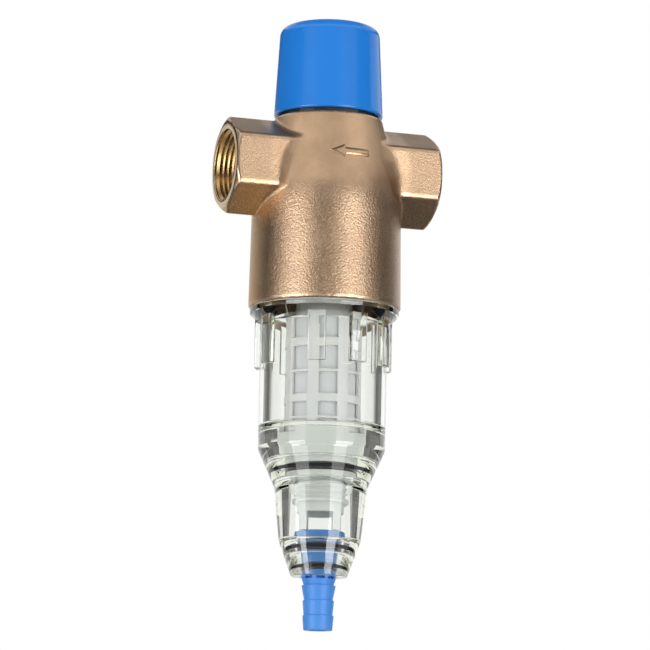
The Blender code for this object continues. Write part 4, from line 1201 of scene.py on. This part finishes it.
# %% Drain plug with its hose barb
PLUG_TOP, PLUG_END = levels("drain_plug")
BARB_START = -153.3
BARB_CRESTS = (6.25, 5.75, 5.7)
BARB_ROOTS = (5.25, 5.3, 5.3)
BARB_LEDGE = 0.3
BARB_BORE = 3.0
CROSS_HOLE = 1.0
CROSS_LEVEL = -142.75
CROSS_REACH = 9
DRILL_FACETS = 24
NOTCH_SIZE = (3.2, 6, 0.9)
NOTCH_PLACE = (0, -7.6, BOWL_TIP - 0.35)
NOTCH_TURNS = (-55, -13, 28, 73, 118, 163, 208, 253)
plug_corners = [
    (0, PLUG_TOP, 0),
    (9.3, PLUG_TOP, 0.4),
    (9.3, -136.7, 0.3),
    (8.0, -136.7, 0),
    (8.0, -137.4, 0),
    (5.9, -137.4, 0.2),
    (5.9, -140.4, 0.2),
    (8.0, -140.4, 0),
    (8.0, -140.8, 0.1),
    (6.5, -140.8, 0.1),
    (6.5, -144.7, 0.1),
    (4.3, -144.7, 0.2),
    (4.3, -147.5, 0.2),
    (6.5, -147.5, 0.1),
    (6.5, BOWL_TIP, 0),
    (5.5, BARB_START, 0),
]
barb_pitch = (BARB_START - PLUG_END) / len(BARB_CRESTS)
for k, (crest, root) in enumerate(zip(BARB_CRESTS, BARB_ROOTS)):
    top = BARB_START - k * barb_pitch
    plug_corners.append((crest, top - BARB_LEDGE, 0.12))
    plug_corners.append((root, top - barb_pitch, 0.15))
plug_corners += [(BARB_BORE, PLUG_END, 0.3), (BARB_BORE, CROSS_LEVEL, 0), (0, CROSS_LEVEL, 0)]
plug = turned("drain_plug_moulding", plug_corners)
high, low = CROSS_REACH, -CROSS_REACH
drill_corners = [(0, high, 0), (CROSS_HOLE, high, 0), (CROSS_HOLE, low, 0), (0, low, 0)]
drill = turned("drill", drill_corners, DRILL_FACETS)
drill.data.transform(Matrix.Translation((0, 0, CROSS_LEVEL * MM)) @ Matrix.Rotation(QUARTER, 4, "Y"))
cut(plug, drill)
for turn in NOTCH_TURNS:
    cut(plug, box("notch", NOTCH_SIZE, math.radians(turn), NOTCH_PLACE))
dress(plug, "barb_blue", "drain", "drain_plug")

# %% [markdown]
# ## Rubber inside the valve
# The diaphragm is a moulded rubber disc with one rolling wave: its rim is clamped in the housing and its
# middle rises with the stem.

# %% Diaphragm and valve disc
RUBBER = 1.5
WAVE_IN, WAVE_MIDDLE, WAVE_OUT = 11.65, 13.05, 14.3
STEM_HOLE = 2.8
DISC_ROUNDING = 0.3
DIAPHRAGM_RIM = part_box("diaphragm")[1].x / MM
DIAPHRAGM_TOP, WAVE_BOTTOM = levels("diaphragm")
WAVE_DROP = DIAPHRAGM_TOP - RUBBER - WAVE_BOTTOM
folds = (
    (DIAPHRAGM_RIM, 0, 0.2),
    (WAVE_OUT, 0, 0.5),
    (WAVE_MIDDLE, WAVE_DROP, 0.7),
    (WAVE_IN, 0, 0.5),
    (STEM_HOLE, 0, 0),
)
over = [(radius, DIAPHRAGM_TOP - drop, rounding) for radius, drop, rounding in folds]
under = [(radius, level - RUBBER, rounding) for radius, level, rounding in over]
diaphragm = turned("diaphragm_rubber", over[:1] + under + over[:0:-1])
dress(diaphragm, "diaphragm_black", None, "diaphragm")
rim_point, plate_point = ((radius * MM, 0, DIAPHRAGM_TOP * MM) for radius in (WAVE_OUT, WAVE_IN))
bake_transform(diaphragm, "housing", "valve", rim_point, plate_point)
places = np.array([v.co for v in diaphragm.data.vertices]) / MM
share = np.clip((WAVE_OUT - np.hypot(places[:, 0], places[:, 1])) / (WAVE_OUT - WAVE_IN), 0, 1)
weights = diaphragm.data.attributes["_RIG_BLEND"]
weights.data.foreach_set("value", (share * share * (3 - 2 * share)).astype(np.float32))

disc_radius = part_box("valve_disc")[1].x / MM
disc = tube("valve_disc_rubber", disc_radius, STEM_HOLE, *levels("valve_disc"), DISC_ROUNDING)
dress(disc, "seal_black", "valve", "valve_disc")

# %% [markdown]
# ## Metal and plastic inside
# Stem, plates, insert, bonnet and spindle are hidden by the casting and the cap, and their CAD solids are
# right as they are. They keep their meshes and only take the finish of their slot.

# %% Finish the carried-over pieces
slots = {row["node"]: row["material_slot"] for row in frame["record"]["subparts"]}
kept = [name for name, node in frame["nodes"].items() if not node.hide_render]
for name in kept:
    mesh = frame["nodes"][name].data
    mesh.materials.clear()
    mesh.materials.append(finishes[slots[name]])
print("carried over:", sorted(kept))

# %% [markdown]
# ## Studio
# The photograph has a white background, two tall softboxes that draw bright bands down barrel and bowl, and
# dark surroundings that give metal and clear plastic their contrast. The white is for camera, glossy and
# transmission rays only. Dark flags stand between the softboxes, out of the camera's sight. Glowing trays
# lie below for the cones of the bowl, a dim cloth hangs in front for the ports' upper faces, and flags at the
# back, which only clear plastic sees, draw its dark edges.

# %% World and floor
FLOOR_LEVEL = -0.70
FILL_LIGHT = 0.52
FLOOR_SIZE = 12
FLOOR_TONE = 0.85
FLOOR_FADE = (1.2, 5.0)
WHITE = (1, 1, 1, 1)


def seen_directly(graph):
    """1 for rays that should see the white background."""
    path = graph.tree.nodes.new("ShaderNodeLightPath")
    total = Wire(graph, path.outputs["Is Camera Ray"])
    for kind in ("Is Glossy Ray", "Is Transmission Ray"):
        total = total + Wire(graph, path.outputs[kind])
    return graph.maths("MINIMUM", total, 1.0)


world = bpy.data.worlds.new("studio")
world.use_nodes = True
scene.world = world
sky = Graph(world.node_tree)
white = sky.node("ShaderNodeBackground", {"Color": WHITE, "Strength": 1.0})
fill = sky.node("ShaderNodeBackground", {"Color": WHITE, "Strength": FILL_LIGHT})
sky.show(sky.node("ShaderNodeMixShader", {0: seen_directly(sky), 1: fill, 2: white}), "World Output")

paper = bpy.data.materials.new("floor_paper")
paper.use_nodes = True
sheet = Graph(paper.node_tree)
matt = sheet.node("ShaderNodeBsdfDiffuse", {"Color": (FLOOR_TONE, FLOOR_TONE, FLOOR_TONE, 1)})
glow = sheet.node("ShaderNodeEmission", {"Color": WHITE, "Strength": 1.0})
away = sheet.vectors("LENGTH", sheet.node("ShaderNodeTexCoord", output="Object"), output="Value")
near, far = FLOOR_FADE
fade = sheet.node("ShaderNodeMapRange", {"Value": away, "From Min": near, "From Max": far})
share = seen_directly(sheet) * (0.8 + 0.2 * fade)
sheet.show(sheet.node("ShaderNodeMixShader", {0: share, 1: matt, 2: glow}))
bpy.ops.mesh.primitive_plane_add(size=FLOOR_SIZE, location=(0, 0, FLOOR_LEVEL))
floor = bpy.context.object
floor.name = "floor"
floor.data.materials.append(paper)
print("floor at", FLOOR_LEVEL)

# %% Softboxes
SOFTBOX_TURNS = (-44, 41)
SOFTBOX_SIZE = (0.7, 1.3)
SOFTBOX_DISTANCE = 1.15
SOFTBOX_LEVEL = -0.02
SOFTBOX_POWER = 5.6


def around_camera(degrees, distance, level):
    """A place at an angle from the camera's side, towards the right of the picture."""
    return polar(distance, CAMERA_TURN + math.radians(degrees), level)


for degrees in SOFTBOX_TURNS:
    lamp = bpy.data.lights.new(f"softbox_{degrees}", "AREA")
    lamp.shape = "RECTANGLE"
    lamp.size, lamp.size_y = SOFTBOX_SIZE
    lamp.energy = SOFTBOX_POWER
    softbox = bpy.data.objects.new(lamp.name, lamp)
    scene.collection.objects.link(softbox)
    softbox.location = around_camera(degrees, SOFTBOX_DISTANCE, SOFTBOX_LEVEL)
    softbox.rotation_euler = (CAMERA_AIM - softbox.location).to_track_quat("-Z", "Y").to_euler()
    softbox.visible_glossy = False
    softbox.visible_transmission = False
print("softboxes:", len(SOFTBOX_TURNS))

# %% [markdown]
# ### What reflections and refractions see
# Each row of the two tables is a curved cloth: its name, its glow, its angles from the camera's side, and its
# radius and its level at both edges. The first table is for reflections and the second for clear plastic. The
# panels stand in for the softboxes' fronts, with a glow for each part of the object that mirrors them, and
# everything dimmer is felt or plain cloth.

# %% Panels, trays and flags
CURTAIN_STEP = 3
PANELS = ((-61, -29), (26, 58))
LOW_PANELS = ((-67, -38), (24, 56))
TIP_PANELS = ((-61, -42), (22, 52))
NEAR = (1.15, 1.15)
FAR = (1.45, 1.45)
BELOW = (-0.655, -0.655)
FELT = 0.04
BACK_FELT = 0.15
REFLECTED = (
    ("panel", 5.4, PANELS, NEAR, (-0.68, -0.32)),
    ("panel", 5.6, LOW_PANELS, NEAR, (-0.32, -0.16)),
    ("panel", 7.8, PANELS, NEAR, (-0.16, 0.02)),
    ("panel", 1.2, PANELS, NEAR, (0.02, 0.14)),
    ("panel", 7.0, PANELS, NEAR, (0.14, 0.2)),
    ("tray", 3.0, PANELS[:1], (0.42, 0.79), BELOW),
    ("tray", 3.0, PANELS[1:], (0.42, 0.755), BELOW),
    ("tray", 8.5, TIP_PANELS[:1], (0.79, 1.15), BELOW),
    ("tray", 8.5, TIP_PANELS[1:], (0.755, 1.15), BELOW),
    ("top_band", 1.5, ((-85, 85),), (1.45, 1.2), (0.76, 1.28)),
    ("flag", FELT, ((-29, 26), (60, 132), (-126, -61)), FAR, (-0.69, 0.38)),
    ("ring_flag", FELT, ((-165, 165),), FAR, (0.62, 0.75)),
    ("ring_flag", FELT, ((-59, 65),), FAR, (0.38, 0.46)),
    ("ring_flag", FELT, ((-165, -59), (65, 103), (152, 165)), FAR, (0.38, 0.62)),
    ("ring_flag", FELT, ((103, 152),), FAR, (0.52, 0.62)),
    ("front_panel", 0.5, ((-59, 65),), FAR, (0.46, 0.62)),
)
REFRACTED = (
    ("back_flag", BACK_FELT, ((112, 151),), FAR, (-0.40, 0.95)),
    ("back_flag", BACK_FELT, ((151, 222),), FAR, (0.0905, 0.112)),
    ("back_flag", BACK_FELT, ((151, 209),), FAR, (0.55, 0.74)),
    ("back_flag", BACK_FELT, ((151, 168), (-168, -135)), FAR, (0.05, 0.098)),
    ("back_flag", BACK_FELT, ((-151, -112),), FAR, (0.098, 0.95)),
)
DISCS = (("floor_flag", 0.95, -0.66, 0.09), ("ceiling_flag", 1.2, 1.3, 0.2))


def only_for(obj, name, glow, kind_of_ray):
    """Gives an object of the studio an even glow that only one kind of ray sees."""
    material = bpy.data.materials.new(name + "_cloth")
    material.use_nodes = True
    graph = Graph(material.node_tree)
    graph.show(graph.node("ShaderNodeEmission", {"Color": WHITE, "Strength": glow}))
    obj.data.materials.append(material)
    for kind in ("camera", "diffuse", "shadow", "glossy", "transmission"):
        setattr(obj, "visible_" + kind, kind == kind_of_ray)


def curtain(name, sector, radii, edges):
    """A curved wall between two angles, with a radius and a level at each edge."""
    start, end = sector
    count = max(2, round((end - start) / CURTAIN_STEP))
    turns = [start + (end - start) * k / count for k in range(count + 1)]
    rim = [around_camera(t, radius, level) for t in turns for radius, level in zip(radii, edges)]
    quads = [(2 * k, 2 * k + 2, 2 * k + 3, 2 * k + 1) for k in range(count)]
    return meshed(name, rim, faces=quads)


for kind, cloths in (("glossy", REFLECTED), ("transmission", REFRACTED)):
    for name, glow, sectors, radii, edges in cloths:
        for sector in sectors:
            only_for(curtain(name, sector, radii, edges), name, glow, kind)
for name, radius, level, glow in DISCS:
    bpy.ops.mesh.primitive_circle_add(radius=radius, fill_type="NGON", location=(0, 0, level))
    bpy.context.object.name = name
    only_for(bpy.context.object, name, glow, "glossy")
print("rows of cloth:", len(REFLECTED), "and", len(REFRACTED), "with discs:", len(DISCS))
